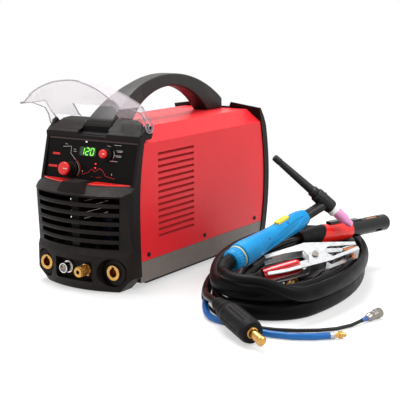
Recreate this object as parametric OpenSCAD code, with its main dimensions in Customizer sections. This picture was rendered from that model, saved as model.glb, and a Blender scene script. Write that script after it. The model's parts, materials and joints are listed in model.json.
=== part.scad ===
// TIG welding machine with its torch set, earth clamp and electrode holder.
// Millimetres. Z up, the front looks towards -Y, the floor is Z = 0,
// the origin is the middle of the rubber foot frame.

/* [Casing] */
// Width over the sheet metal cover
case_w = 182; // [165:1:205]
// Height of the cover's flat top above the floor
case_h = 252; // [225:1:285]
// Length of the cover from its front edge to its rear edge at half height
case_l = 381; // [350:1:420]
// Thickness of the cover sheet
sheet_t = 1.2; // [0.8:0.1:2]
// Top of the dark base rail above the floor
rail_h = 45.5; // [40:0.5:55]
// Number of cooling louvres on each side
louvres = 14; // [6:1:16]

/* [Front] */
// How far the nose of the front moulding stands before the cover
nose = 63; // [52:1:74]
// Wall thickness of the plastic mouldings
wall = 3; // [2.5:0.1:4]
// Number of slots in the front grille
slots = 6; // [3:1:8]
// Bore of the weld sockets
socket_bore = 13.6; // [9:0.1:14]
// Outer diameter of the current knob
knob_d = 22; // [18:0.5:24]
// Outer diameter of the mode knob
mode_d = 15; // [12:0.5:16]
// How far the current knob stands out of the panel
knob_h = 22; // [12:0.5:25]
// How far the mode knob stands out of the panel
mode_h = 13; // [9:0.5:16]
// Angle by which the clear cover stands open
cover_open = 90; // [60:1:95]

/* [Handle] */
// Height of the carry handle above the cover
handle_rise = 72; // [60:1:85]
// Width of the grip
handle_w = 30; // [24:1:36]

/* [Fan] */
// Side of the square fan frame
fan_size = 92; // [80:1:110]
// Number of fan blades
blades = 7; // [5:1:9]

/* [Torch] */
// Length of the torch handle
torch_l = 166; // [150:1:180]
// Radius of the torch handle at its tail
torch_r = 19; // [17:0.5:20]
// Length of the gas nozzle
nozzle_l = 36; // [26:1:44]
// Length of the back cap
cap_l = 84; // [50:1:95]
// Pin diameter of the plugs
plug_pin_d = 13; // [9:0.1:13.2]

/* [Earth clamp and electrode holder] */
// Radius of the clamp's grip sleeve
grip_r = 11; // [9:0.5:12]
// Radius of the electrode holder's handle
holder_r = 16.5; // [14:0.5:17]

/* [Hidden] */
$fn = 48;

// named clearances
gap = 0.4;
run = 0.06;

// casing frame values
hw = case_w / 2;
yf = -case_l / 2 + 4.5;
yr = case_l / 2 + 4.5;
rail_z = 12;
cham_x = 24;
cham_z = 22;
zc = case_h - cham_z;
zmid = case_h / 2 - 1;

// curved front and rear edges of the cover, as depth for a height
edge_y = yf - 6;
edge_r_top = 430;
edge_r_low = 1900;
edge_r_rear = 400;
function bow(z, r) = r - sqrt(r * r - (z - zmid) * (z - zmid));
function y_front(z) = edge_y + bow(z, z > zmid ? edge_r_top : edge_r_low);
function y_rear(z) = yr - bow(z, edge_r_rear);
zsteps = [for (i = [0 : 18]) i * (case_h + 16) / 18];

// part of the side view between the front and rear edges, pulled in by e
module side_view(e) {
    polygon(concat([for (z = zsteps) [y_front(z) + e, z]],
        [for (i = [18 : -1 : 0]) [y_rear(zsteps[i]) - e, zsteps[i]]]));
}

// a drawing in the side view (y, z) made solid from x0 to x1
module across(x0, x1) {
    translate([x0, 0, 0]) rotate([90, 0, 90]) linear_extrude(x1 - x0) children();
}

// a drawing in the front view (x, z) made solid from y0 to y1
module along(y0, y1) {
    translate([0, y1, 0]) rotate([90, 0, 0]) linear_extrude(y1 - y0) children();
}

// a rod from p to q
module rod(p, q, r1, r2) {
    d = q - p;
    l = norm(d);
    translate(p) rotate([0, acos(d[2] / l), atan2(d[1], d[0])]) cylinder(h = l, r1 = r1, r2 = r2);
}

// base and cover

module foot_frame() {
    color("#262422") linear_extrude(rail_z) {
        for (s = [-1, 1]) translate([s * (hw - 29) - 11, yf + 36]) square([22, case_l - 66]);
        translate([-hw + 29, -11]) square([2 * hw - 58, 22]);
    }
}

tray_t = 1.5;
screw_y = [yf + 18, -6, yr - 33];
screw_z = rail_h + 9;

module tray_section() {
    translate([-hw, rail_z]) square([2 * hw, tray_t]);
    for (s = [0, 1]) mirror([s, 0]) {
        translate([-hw, rail_z]) square([tray_t, rail_h - gap - rail_z]);
        translate([-hw, rail_h - gap - tray_t]) square([sheet_t + gap + tray_t, tray_t]);
        translate([-hw + sheet_t + gap, rail_h - gap - tray_t]) square([tray_t, 20]);
    }
}

board_z = 40;
board_w = 2 * hw - 34;
board_l = case_l - 150;
board_y = -board_l / 2 + 8;
post_xy = [for (x = [-1, 1], y = [0, 1]) [x * (board_w / 2 - 8), board_y + 8 + y * (board_l - 16)]];

module base_tray() {
    color("#4A4340") difference() {
        union() {
            intersection() {
                along(yf - 20, yr + 20) tray_section();
                across(-hw - 5, hw + 5) side_view(gap);
            }
            for (p = post_xy) translate([p[0], p[1], rail_z + tray_t - 0.01])
                cylinder(h = board_z - rail_z - tray_t, r = 4);
        }
        for (y = screw_y) translate([-hw - 9, y, screw_z]) rotate([0, 90, 0])
            cylinder(h = 2 * hw + 18, r = 2.05);
        for (y = [yf + 60 : 26 : yr - 60]) translate([-26, y, rail_z - 1]) cube([52, 9, tray_t + 2]);
    }
}

cham_l = norm([cham_x, cham_z]);
module cover_line(t) {
    s1 = t * (1 - cham_z / cham_l) / cham_x;
    s2 = (cham_z - t + t * cham_x / cham_l) / cham_z;
    zi = zc + s1 * cham_z - t * cham_x / cham_l;
    xi = -hw + s2 * cham_x + t * cham_z / cham_l;
    z0 = rail_h - (t > 0 ? 3 : 0);
    polygon([[-hw + t, z0], [-hw + t, zi], [xi, case_h - t], [-xi, case_h - t], [hw - t, zi],
        [hw - t, z0]]);
}

louvre_y0 = yf + 46;
louvre_l = 102;
louvre_z0 = rail_h + 31;
louvre_z1 = zc - 22;
louvre_p = (louvre_z1 - louvre_z0) / (louvres - 1);
louvre_h = louvre_p * 0.4;
louvre_in = 3.4;
flap_t = 1;

bolt_x = 12;
bolt_y = y_front(case_h) + 16;
handle_bolts = [[-bolt_x, bolt_y], [bolt_x, bolt_y], [0, yr - 66], [0, yr - 34]];

module case_cover() {
    color("#D9343A") {
        difference() {
            intersection() {
                along(yf - 20, yr + 20) difference() {
                    cover_line(0);
                    cover_line(sheet_t);
                }
                across(-hw - 5, hw + 5) side_view(gap);
            }
            for (i = [0 : louvres - 1]) translate([-hw - 9, louvre_y0, louvre_z0 + i * louvre_p])
                cube([2 * hw + 18, louvre_l, louvre_h]);
            for (y = screw_y) translate([-hw - 9, y, screw_z]) rotate([0, 90, 0])
                cylinder(h = 2 * hw + 18, r = 2.3);
            for (p = handle_bolts) translate([p[0], p[1], case_h - 9]) cylinder(h = 18, r = 2.3);
        }
        for (s = [0, 1]) mirror([s, 0, 0]) for (i = [0 : louvres - 1])
            along(louvre_y0, louvre_y0 + louvre_l)
                translate([hw - sheet_t, louvre_z0 + i * louvre_p])
                polygon([[sheet_t, -flap_t], [sheet_t, 0], [-louvre_in, louvre_h + flap_t],
                    [-louvre_in - flap_t, louvre_h + flap_t], [-flap_t, -flap_t]]);
    }
}

module screw(p, d, l) {
    rod(p, p + d * l, 2, 2);
    rod(p - d * 2.2, p, 3.2, 3.9);
}

module case_screws() {
    color("#2B2B2B") {
        for (y = screw_y) {
            screw([hw, y, screw_z], [-1, 0, 0], 9);
            screw([-hw, y, screw_z], [1, 0, 0], 9);
        }
        for (p = handle_bolts) screw([p[0], p[1], case_h - sheet_t], [0, 0, 1], 11);
    }
}

// front moulding

bw = hw + 3;
front_r = 2 * hw;
cy = yf - nose + front_r;
z_lip = 1.5;
lip_corner = 22;
z_ledge = case_h - 85;
z_grille1 = z_ledge - 13.5;
z_grille0 = rail_h + 22.5;
top_b = case_h + 6;
// lip of the brow over the control plate, and how far its facet runs back to the top
brow_y = yf - 4;
brow_z = case_h - 10;
brow_run = 24;
plate_y0 = yf - 16;
plate_z0 = z_ledge + 2;
plate_h = 64;
tilt = 12;
hinge_y = yf + 18;
hinge_z = case_h + 2;
pin_r = 3;

// nose profile, radius and height, pulled in by e
module nose_profile(e) {
    polygon([[0, z_lip + e], [front_r - 14 - e, z_lip + e], [front_r - 3 - e, z_lip + 22],
        [front_r - 3 - e, z_grille0 - 8],
        [front_r - 8 - e, z_grille0], [front_r - 2 - e, z_grille1 - 1], [front_r + 1 - e, z_grille1 + 1],
        [front_r - 17 - e, z_ledge - e], [0, z_ledge - e]]);
}

module nose_block(e) {
    intersection() {
        translate([0, cy, 0]) rotate_extrude($fn = 96) nose_profile(e);
        linear_extrude(case_h) polygon([[-bw + e, 0], [-bw + e, yf - 28], [-bw + 10 + e, yf - 46],
            [-bw + 40, yf - 90], [bw - 40, yf - 90], [bw - 10 - e, yf - 46], [bw - e, yf - 28], [bw - e, 0]]);
        along(yf - 99, 1) polygon([[-bw, case_h], [-bw, z_lip + lip_corner + e],
            [-bw + lip_corner + e, z_lip], [bw - lip_corner - e, z_lip], [bw, z_lip + lip_corner + e],
            [bw, case_h]]);
    }
}

// side view of the upper frame around the control plate
module upper_profile(e) {
    polygon([[yf + 60, z_ledge - 6], [plate_y0 - 4 + e, z_ledge - 6], [plate_y0 - 4 + e, z_ledge],
        [brow_y + 1 + e, brow_z - 9], [brow_y + e, brow_z], [brow_y + brow_run + e * 0.6, top_b - e],
        [yf + 60, top_b - e]]);
}

module upper_block(e) {
    intersection() {
        across(-bw + e, bw - e) upper_profile(e);
        along(yf - 90, yf + 90) polygon([[-bw + e, 0], [-bw + e, brow_z - 2 - e],
            [-bw + 13 + e, top_b - e * 0.7], [bw - 13 - e, top_b - e * 0.7], [bw - e, brow_z - 2 - e],
            [bw - e, 0]]);
    }
}

// everything before the curved front edge of the cover
module before_edge(e) {
    across(-bw - 5, bw + 5) polygon(concat([for (z = zsteps) [y_front(z) - e, z]],
        [[yf - 99, case_h + 16], [yf - 99, 0]]));
}

module on_plate() {
    translate([0, plate_y0, plate_z0]) rotate([-tilt, 0, 0]) children();
}

sock_x = hw - 24;
sock_y = yf - 36;
sock_z = 34;
sock_rec = 23;
ctl_x = -21;
gas_x = 16;
con_z = 33;
con_y = yf - 42;
cur_x = -35;
cur_v = 14.5;
mode_x = 32;
mode_v = 43;
shaft_r = 3;
// top of the connector seat, and the rib that stands on it behind the slats
seat_top = 56;
rib_w = 15;
rib_in = 14;

// open share of the grille's pitch, and how far its slots reach past the weld sockets
slot_open = 0.68;
slot_past = 9;
module grille_cuts() {
    p = (z_grille1 - z_grille0) / slots;
    for (i = [0 : slots - 1]) translate([-sock_x - slot_past - i, yf - 99, z_grille0 + (i + 0.16) * p])
        cube([2 * (sock_x + slot_past + i), nose + 16, p * slot_open]);
}

// finger pocket in the brow: half widths below and above, and its depth
pocket_w0 = 27;
pocket_w1 = 38;
pocket_d = 12;
module brow_pocket(e) {
    intersection() {
        along(brow_y - 20, brow_y + 40) polygon([[-pocket_w0 - e, brow_z - 6 - e],
            [-pocket_w1 - e, top_b + 9], [pocket_w1 + e, top_b + 9], [pocket_w0 + e, brow_z - 6 - e]]);
        across(-bw, bw) polygon([[brow_y - 20, brow_z - 5 - e], [brow_y + 2, brow_z - 4.5 - e],
            [brow_y + pocket_d + e, brow_z + 1 - e], [brow_y + pocket_d + e, top_b + 9],
            [brow_y - 20, top_b + 9]]);
    }
}

// lug that reaches back from the brow to the hinge of the clear cover
lug_t = 5.5;
module hinge_lug() {
    across(bw - lug_t, bw) polygon([[brow_y + 4, brow_z - 6], [hinge_y + 7, brow_z - 6],
        [hinge_y + 11, brow_z], [hinge_y + 6.5, hinge_z], [hinge_y, hinge_z + 6.5],
        [brow_y + 12, brow_z + 8], [brow_y + 4, brow_z + 2]]);
}

module front_bezel() {
    color("#2A2624") difference() {
        union() {
            intersection() {
                difference() {
                    union() {
                        nose_block(0);
                        upper_block(0);
                    }
                    nose_block(wall);
                    upper_block(wall);
                    translate([-bw + wall, yf - 14, z_ledge - 12]) cube([2 * bw - 2 * wall, 60, 24]);
                }
                before_edge(gap);
            }
            // seats of the weld sockets and of the two small connectors
            intersection() {
                union() {
                    for (s = [-1, 1]) translate([s * sock_x, sock_y + 4, sock_z]) rotate([90, 0, 0])
                        cylinder(h = 60, r = sock_rec + 3);
                    translate([-40, con_y - 40, 12]) cube([80, 44, seat_top - 12]);
                }
                nose_block(0);
            }
            // solid behind the finger pocket
            intersection() {
                brow_pocket(wall);
                upper_block(0);
                before_edge(gap);
            }
            // raised tongue in the middle of the ledge
            intersection() {
                along(yf - 99, plate_y0 - 3) polygon([[-33, z_ledge - 16], [-15, z_ledge + 6],
                    [15, z_ledge + 6], [33, z_ledge - 16]]);
                translate([0, cy, 0]) cylinder(h = case_h, r = front_r - 2, $fn = 96);
                translate([-40, yf - 70, 0]) cube([80, 52, case_h]);
            }
            // hinge lugs and pins of the clear cover
            for (s = [0, 1]) mirror([s, 0, 0]) {
                hinge_lug();
                translate([bw - 0.01, hinge_y, hinge_z]) rotate([0, 90, 0]) cylinder(h = 4.2, r = pin_r);
            }
        }
        // window of the control plate
        on_plate() translate([-hw + 2, -30, 0.5]) cube([2 * hw - 4, 34 + 3 + gap, plate_h + 0.5]);
        grille_cuts();
        for (s = [-1, 1]) translate([s * sock_x, sock_y, sock_z]) {
            rotate([90, 0, 0]) cylinder(h = 60, r = sock_rec);
            rotate([-90, 0, 0]) translate([0, 0, -1]) cylinder(h = 20, r = 15 + gap);
        }
        translate([-36, con_y - 60, 17]) cube([72, 60, 34]);
        translate([ctl_x, con_y + 20, con_z]) rotate([90, 0, 0]) cylinder(h = 40, r = 7 + gap);
        translate([gas_x, con_y + 20, con_z]) rotate([90, 0, 0]) cylinder(h = 40, r = 6 + gap);
        brow_pocket(0);
    }
    // rib behind the slats of the grille
    color("#2A2624") intersection() {
        translate([-rib_w / 2, yf - 90, seat_top - wall]) cube([rib_w, 90, z_ledge - seat_top + wall - 1]);
        translate([0, cy, 0]) difference() {
            cylinder(h = case_h, r = front_r - rib_in, $fn = 96);
            translate([0, 0, -1]) cylinder(h = case_h + 2, r = front_r - rib_in - 12, $fn = 96);
        }
    }
}

module trim_strip() {
    color("#F02818") translate([0, 0, z_ledge + gap]) linear_extrude(2.2) difference() {
        intersection() {
            translate([0, cy]) circle(r = front_r - 17.5, $fn = 96);
            translate([-hw + 3, yf - 99]) square([2 * hw - 6, 99 - 21]);
        }
        polygon([[-20.6, yf - 99], [-20.6, yf], [20.6, yf], [20.6, yf - 99]]);
    }
}

plate_t = 2.6;
// opening of the display in the control plate, and the lens's clearance in it
disp_x = -8;
disp_v = 45;
disp_w = 34;
disp_h = 16;
lens_c = 0.3;
knob_xv = [[cur_x, cur_v], [mode_x, mode_v]];
led_xv = [[-11.7, 60], [11, 27], [11, 20.5]];

module control_plate() {
    color("#1C1A19") on_plate() difference() {
        translate([-hw + 2 + gap, 0.4, 1]) cube([2 * hw - 4 - 2 * gap, plate_t, plate_h - 0.4]);
        translate([disp_x - disp_w / 2, -1, disp_v - disp_h / 2]) cube([disp_w, 9, disp_h]);
        for (p = knob_xv) translate([p[0], -1, p[1]]) rotate([-90, 0, 0])
            cylinder(h = 9, r = shaft_r + 0.5);
        for (p = led_xv) translate([p[0], -1, p[1]]) rotate([-90, 0, 0]) cylinder(h = 9, r = 1.7);
    }
}

module display_lens() {
    color("#0E1A10") on_plate() translate([disp_x, plate_t / 2 + 0.1, disp_v])
        cube([disp_w - 2 * lens_c, plate_t + 0.6, disp_h - 2 * lens_c], center = true);
}

module panel_leds() {
    color("#E8E0D8") on_plate() for (p = led_xv) translate([p[0], 0, p[1]]) {
        rotate([-90, 0, 0]) cylinder(h = 8, r = 1.5);
        sphere(r = 1.5);
    }
}

module knob(d, h, skirt) {
    rotate([90, 0, 0]) {
        difference() {
            union() {
                cylinder(h = 4.5, r = d / 2 + skirt);
                cylinder(h = h, r1 = d / 2, r2 = d / 2 - 1);
                translate([0, 0, h - 0.01]) cylinder(h = 1, r1 = d / 2 - 1, r2 = d / 2 - 2);
            }
            for (i = [0 : 23]) rotate([0, 0, i * 15]) translate([d / 2 + skirt + 0.4, 0, -1])
                cylinder(h = 7, r = 0.9);
            translate([-0.8, 1.5, h + 0.4]) cube([1.6, d / 2, 2]);
        }
        translate([0, 0, -12]) cylinder(h = 12.01, r = shaft_r);
    }
}

module current_knob() {
    color("#E02018") on_plate() translate([cur_x, -0.2, cur_v]) knob(knob_d, knob_h, 1.2);
}

module mode_knob() {
    color("#E02018") on_plate() translate([mode_x, -0.2, mode_v]) knob(mode_d, mode_h, 3);
}

module encoder_bodies() {
    color("#5A5A5C") on_plate() for (p = knob_xv) translate([p[0], plate_t + 0.8, p[1]]) difference() {
        translate([-7, 0, -7]) cube([14, 9.2, 14]);
        translate([0, -1, 0]) rotate([-90, 0, 0]) cylinder(h = 10, r = shaft_r + run);
    }
}

module control_board() {
    color("#1F5B3A") on_plate() {
        translate([-hw + 14, plate_t + 10, 3]) cube([2 * hw - 28, 1.6, plate_h - 8]);
        for (x = [-hw + 20, hw - 20], v = [9, plate_h - 11]) translate([x, plate_t + 0.4, v])
            rotate([-90, 0, 0]) cylinder(h = 9.7, r = 3);
    }
}

// clear flip-up cover, drawn closed and then swung open about its pins
cov_t = 2.4;
cov_w = bw + 3.4;
cov_nose = nose - 6;
cov_r = 138.6;
module cover_solid(e) {
    intersection() {
        linear_extrude(case_h + 99) intersection() {
            translate([0, yf - cov_nose + cov_r]) circle(r = cov_r - e, $fn = 96);
            translate([-cov_w + e, yf - 90]) square([2 * cov_w - 2 * e, 150]);
        }
        across(-cov_w + e, cov_w - e) polygon([[yf + 30, z_ledge + 9], [yf - cov_nose - 5 + e, z_ledge + 9],
            [yf - cov_nose - 1 + e, z_ledge + 30], [yf - 42 + e, z_ledge + 47 - e * 0.4],
            [yf - 22 + e * 0.8, z_ledge + 65 - e * 0.6], [yf + 2 + e * 0.6, z_ledge + 83 - e * 0.8],
            [yf + 11, z_ledge + 94 - e], [yf + 30, z_ledge + 94 - e]]);
    }
}

module clear_cover() {
    color("#E8DCDC", 0.4) translate([0, hinge_y, hinge_z]) rotate([-cover_open, 0, 0])
        translate([0, -hinge_y, -hinge_z]) difference() {
        union() {
            difference() {
                cover_solid(0);
                cover_solid(cov_t);
                // open underneath and behind
                translate([-cov_w + cov_t, yf - 90, z_ledge])
                    cube([2 * cov_w - 2 * cov_t, 90, 9 + cov_t]);
                translate([-cov_w + cov_t, yf - 30, z_ledge])
                    cube([2 * cov_w - 2 * cov_t, 50, 13 + cov_t]);
                across(-cov_w - 1, cov_w + 1) polygon([[yf + 99, z_ledge - 20], [yf - 18, z_ledge - 20],
                    [yf - 16, z_ledge + 34], [yf - 5, z_ledge + 66], [yf + 5, z_ledge + 77],
                    [yf + 8, z_ledge + 99], [yf + 99, z_ledge + 99]]);
                // room for the foot of the carry handle
                translate([-39, yf - 14, z_ledge + 58]) cube([78, 60, 60]);
                // notch over the tongue of the ledge
                along(yf - 99, yf - 20) polygon([[-33, z_ledge], [-31, z_ledge + 9.5], [-15, z_ledge + 17],
                    [15, z_ledge + 17], [31, z_ledge + 9.5], [33, z_ledge]]);
            }
            // hinge ears
            for (s = [0, 1]) mirror([s, 0, 0]) {
                translate([cov_w - cov_t, hinge_y, hinge_z]) rotate([0, 90, 0])
                    cylinder(h = cov_t, r = 8.5);
                across(cov_w - cov_t, cov_w) polygon([[yf + 20, z_ledge + 78], [yf + 12, z_ledge + 93],
                    [yf + 3, z_ledge + 84], [yf - 6, z_ledge + 65], [yf + 6, z_ledge + 74]]);
            }
        }
        translate([-cov_w - 1, hinge_y, hinge_z]) rotate([0, 90, 0])
            cylinder(h = 2 * cov_w + 2, r = pin_r + run);
    }
}

// weld sockets and small connectors
module socket_shells() {
    color("#232120") for (s = [-1, 1]) translate([s * sock_x, sock_y, sock_z]) rotate([90, 0, 0])
        difference() {
        union() {
            cylinder(h = 3, r = 20);
            translate([0, 0, -16]) cylinder(h = 16.01, r = 15);
        }
        translate([0, 0, -20]) cylinder(h = 40, r = 11 + gap);
    }
}

module socket_contacts() {
    color("#D8A050") for (s = [-1, 1]) translate([s * sock_x, sock_y, sock_z]) rotate([90, 0, 0])
        difference() {
        union() {
            translate([0, 0, -24]) cylinder(h = 31, r = 11);
            translate([0, 0, 3 + gap]) cylinder(h = 4, r = 12);
            translate([0, 0, -42]) cylinder(h = 18.01, r = 6);
        }
        translate([0, 0, -20]) cylinder(h = 40, r = socket_bore / 2);
        translate([-2.2, 0, -1]) cube([4.4, socket_bore / 2 + 2.4, 12]);
    }
}

module gas_outlet() {
    color("#CFA04C") translate([gas_x, con_y, con_z]) rotate([90, 0, 0]) difference() {
        union() {
            translate([0, 0, gap]) cylinder(h = 4, r = 10.5, $fn = 6);
            cylinder(h = 24, r = 7.5);
            for (i = [0 : 5]) translate([0, 0, 8 + i * 2.4]) cylinder(h = 1.2, r = 8.4);
            translate([0, 0, -14]) cylinder(h = 15, r = 6);
        }
        translate([0, 0, -20]) cylinder(h = 50, r = 3.2);
    }
}

module control_socket() {
    color("#B9B7B4") translate([ctl_x, con_y, con_z]) rotate([90, 0, 0]) {
        difference() {
            union() {
                translate([0, 0, gap]) cylinder(h = 3, r = 10);
                cylinder(h = 15, r = 8);
                translate([0, 0, -12]) cylinder(h = 13, r = 7);
            }
            translate([0, 0, 4]) cylinder(h = 20, r = 6.4);
        }
        for (a = [45 : 90 : 360]) rotate([0, 0, a]) translate([3.2, 0, 0]) cylinder(h = 11, r = 0.9);
    }
}

// rear moulding

rear_d = 16;
rb = hw + 2;
fan_z = z_ledge - 36;
fan_c = (fan_size - 10) / 2 * sqrt(2);
fan_y1 = yr - gap;
fan_d = 25;
fan_xz = [for (a = [45 : 90 : 360]) [cos(a) * fan_c, fan_z + sin(a) * fan_c]];
gland_x = -48;
inlet_x = 42;
// crests of the rear moulding beside the foot of the carry handle
crest_x = 34;
crest_z = 11.5;
low_z = 52;
sw_x = 50;
sw_z = zc - 8;
function y_back(z) = y_rear(z) + rear_d - (z > zc ? (z - zc) * 0.42 : 0);
seat_y = y_back(low_z + 12) + 1;
sw_y = y_back(sw_z) - 7;

module rear_profile(e) {
    polygon(concat([for (z = zsteps) [y_rear(z) + gap - (e > 0 ? 9 : 0), max(z, z_lip + e)]],
        [for (i = [18 : -1 : 0]) [y_back(zsteps[i]) - e, max(zsteps[i], z_lip + e)]]));
}

module rear_block(e) {
    intersection() {
        across(-rb + e, rb - e) rear_profile(e);
        along(yr - 60, yr + 40) polygon([[-rb + e, 0], [-rb + e, case_h + 3 - e],
            [-crest_x, case_h + crest_z - e], [-crest_x + 5, case_h + 3 - e], [crest_x - 5, case_h + 3 - e],
            [crest_x, case_h + crest_z - e], [rb - e, case_h + 3 - e], [rb - e, 0]]);
    }
}

// flange of the rear moulding that closes its square corners outside the cover
module rear_flange() {
    intersection() {
        rear_block(0);
        across(-rb, rb) polygon(concat([for (z = zsteps) [y_rear(z) + gap, z]],
            [for (i = [18 : -1 : 0]) [y_rear(zsteps[i]) + gap + wall, zsteps[i]]]));
        difference() {
            translate([-rb, yr - 60, zc - 20]) cube([2 * rb, 99, 99]);
            along(yr - 60, yr + 40) cover_line(2 * sheet_t);
        }
    }
}

module rear_bezel() {
    color("#2A2624") difference() {
        union() {
            difference() {
                rear_block(0);
                rear_block(wall);
            }
            rear_flange();
            // screw bosses of the fan, each as long as the curved back asks for
            for (p = fan_xz) translate([p[0], yr, p[1]]) rotate([-90, 0, 0])
                cylinder(h = y_back(p[1]) - wall / 2 - yr, r = 4.5);
            // flat seats of the cable gland and of the gas inlet
            for (q = [[gland_x, 17], [inlet_x, 11]]) translate([q[0], seat_y - 9, low_z])
                rotate([-90, 0, 0]) cylinder(h = 9, r = q[1]);
        }
        // fan guard
        translate([0, yr - 30, fan_z]) rotate([-90, 0, 0])
            for (r = [14 : 10 : fan_size / 2 - 6]) difference() {
                cylinder(h = 80, r = r + 7);
                translate([0, 0, -1]) cylinder(h = 90, r = r);
                for (a = [0 : 60 : 120]) rotate([0, 0, a]) translate([-99, -2, -1]) cube([198, 4, 90]);
            }
        for (p = fan_xz) translate([p[0], yr - 9, p[1]]) rotate([-90, 0, 0]) cylinder(h = 18, r = 1.6);
        translate([sw_x - 14, yr - 40, sw_z - 9]) cube([28, 80, 18]);
        translate([gland_x, yr - 30, low_z]) rotate([-90, 0, 0]) cylinder(h = 80, r = 10 + gap);
        translate([inlet_x, yr - 30, low_z]) rotate([-90, 0, 0]) cylinder(h = 80, r = 6 + gap);
    }
    // cheeks and pin that the rocker switch tilts on
    color("#2A2624") {
        for (t = [-1, 1]) translate([sw_x + t * 15.5 - 1.5, sw_y - 5, sw_z - 8]) cube([3, 10.5, 16]);
        translate([sw_x - 15, sw_y, sw_z]) rotate([0, 90, 0]) cylinder(h = 30, r = 1.5);
    }
}

module fan_frame() {
    color("#1F1F21") translate([0, fan_y1, fan_z]) rotate([90, 0, 0]) {
        difference() {
            translate([-fan_size / 2, -fan_size / 2, 0]) cube([fan_size, fan_size, fan_d]);
            translate([0, 0, -1]) cylinder(h = fan_d + 2, r = fan_size / 2 - 3);
            for (a = [45 : 90 : 360]) rotate([0, 0, a]) translate([fan_c, 0, -1])
                cylinder(h = fan_d + 2, r = 2.2);
        }
        cylinder(h = 4, r = 17);
        for (a = [0 : 90 : 270]) rotate([0, 0, a + 20]) translate([12, -2.5, 0])
            cube([fan_size / 2 - 13.5, 5, 4]);
        cylinder(h = 20, r = 4);
    }
}

module fan_rotor() {
    color("#303033") translate([0, fan_y1 - 5, fan_z]) rotate([90, 0, 0]) difference() {
        union() {
            cylinder(h = 18, r = 16);
            intersection() {
                for (i = [0 : blades - 1]) rotate([0, 0, i * 360 / blades]) translate([13, 0, 9])
                    rotate([38, 0, 0])
                    translate([0, -11, -0.9]) cube([fan_size / 2 - 18.5, 22, 1.8]);
                cylinder(h = 18, r = fan_size / 2 - 4.5);
            }
        }
        translate([0, 0, -1]) cylinder(h = 16.5, r = 4 + run);
    }
}

module rocker_switch() {
    color("#B02020") translate([sw_x, sw_y, sw_z]) rotate([7, 0, 0]) difference() {
        union() {
            translate([-13.4, -4, -7.8]) cube([26.8, 9, 15.6]);
            translate([0, 4.4, 0]) rotate([0, 90, 0]) cylinder(h = 26.8, r = 3.4, center = true);
        }
        translate([-20, 0, 0]) rotate([0, 90, 0]) cylinder(h = 40, r = 1.5 + run);
    }
}

module cable_gland() {
    color("#222224") translate([gland_x, seat_y, low_z]) rotate([-90, 0, 0]) difference() {
        union() {
            cylinder(h = 6, r = 15, $fn = 6);
            translate([0, 0, 5.9]) cylinder(h = 16, r1 = 12.5, r2 = 10);
            translate([0, 0, -18]) cylinder(h = 19, r = 10);
            translate([0, 0, -15]) cylinder(h = 6, r = 14);
        }
        translate([0, 0, -20]) cylinder(h = 60, r = 5.5);
    }
}

module gas_inlet() {
    color("#CFA04C") translate([inlet_x, seat_y, low_z]) rotate([-90, 0, 0]) difference() {
        union() {
            cylinder(h = 6, r = 9, $fn = 6);
            cylinder(h = 12, r = 5.5);
            for (i = [0 : 3]) translate([0, 0, 12 + i * 5 - 0.01]) cylinder(h = 5, r1 = 5.6, r2 = 4.2);
            translate([0, 0, -14]) cylinder(h = 15, r = 6);
        }
        translate([0, 0, -20]) cylinder(h = 70, r = 2.4);
    }
}

// carry handle

hand_r = 275;
hand_y = 6;
hand_zc = case_h + handle_rise - hand_r;
grip_h = 21;
hole_r = 155;
hole_z = case_h + handle_rise - grip_h - hole_r;
foot_w = 25;

module carry_handle() {
    color("#2E2A28") difference() {
        intersection() {
            across(-26, 26) intersection() {
                difference() {
                    translate([hand_y, hand_zc]) circle(r = hand_r, $fn = 180);
                    translate([hand_y, hole_z]) circle(r = hole_r, $fn = 120);
                }
                translate([y_front(top_b) + gap, case_h])
                    square([y_rear(case_h + 14) - y_front(top_b) - 2 * gap, 99]);
            }
            linear_extrude(case_h + 199) polygon([[-foot_w, yf - 9], [-foot_w, yf + 22],
                [-handle_w / 2, yf + 110], [-handle_w / 2, 70], [-handle_w / 2 - 3, yr + 9],
                [handle_w / 2 + 3, yr + 9], [handle_w / 2, 70], [handle_w / 2, yf + 110],
                [foot_w, yf + 22], [foot_w, yf - 9]]);
        }
        for (p = handle_bolts) translate([p[0], p[1], case_h - 1]) cylinder(h = 11, r = 2.2);
    }
}

// inside

board_t = 1.6;
core_w = 60;
core_l = 44;
core_y = board_y + board_l - 36;
sink_y = board_y + 44;
sink_l = core_y - core_l / 2 - 9 - sink_y;
sink_w = 36;
sink_x = board_w / 2 - 40;
sink_fin = 2.4;
sink_h = case_h / 3;

module power_board() {
    color("#1F5B3A") translate([-board_w / 2, board_y, board_z]) cube([board_w, board_l, board_t]);
}

module heat_sinks() {
    color("#B9BCC0") for (s = [-1, 1]) translate([s * sink_x - sink_w / 2, sink_y, board_z + board_t]) {
        cube([sink_w, sink_l, 5]);
        for (i = [0 : 6]) translate([i * (sink_w - sink_fin) / 6, 0, 4.99])
            cube([sink_fin, sink_l, sink_h]);
    }
}

module transformer() {
    yoke = 12;
    window = 32;
    color("#8A5A2C") translate([0, core_y, board_z + board_t]) {
        for (z = [0, yoke + window]) translate([-core_w / 2, -core_l / 2, z]) cube([core_w, core_l, yoke]);
        for (x = [-core_w / 2, core_w / 2 - yoke]) translate([x, -core_l / 2, yoke - 0.1])
            cube([yoke, core_l, window + 0.2]);
        translate([0, 0, yoke - 0.1]) cylinder(h = window + 0.2, r = core_w / 2 - yoke - 2);
    }
}

module capacitors() {
    color("#2B3A55") for (x = [-46, 0, 46]) translate([x, board_y + 21, board_z + board_t]) {
        cylinder(h = 44, r = 15);
        translate([0, 0, 43.9]) cylinder(h = 2, r = 13);
    }
}

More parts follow.
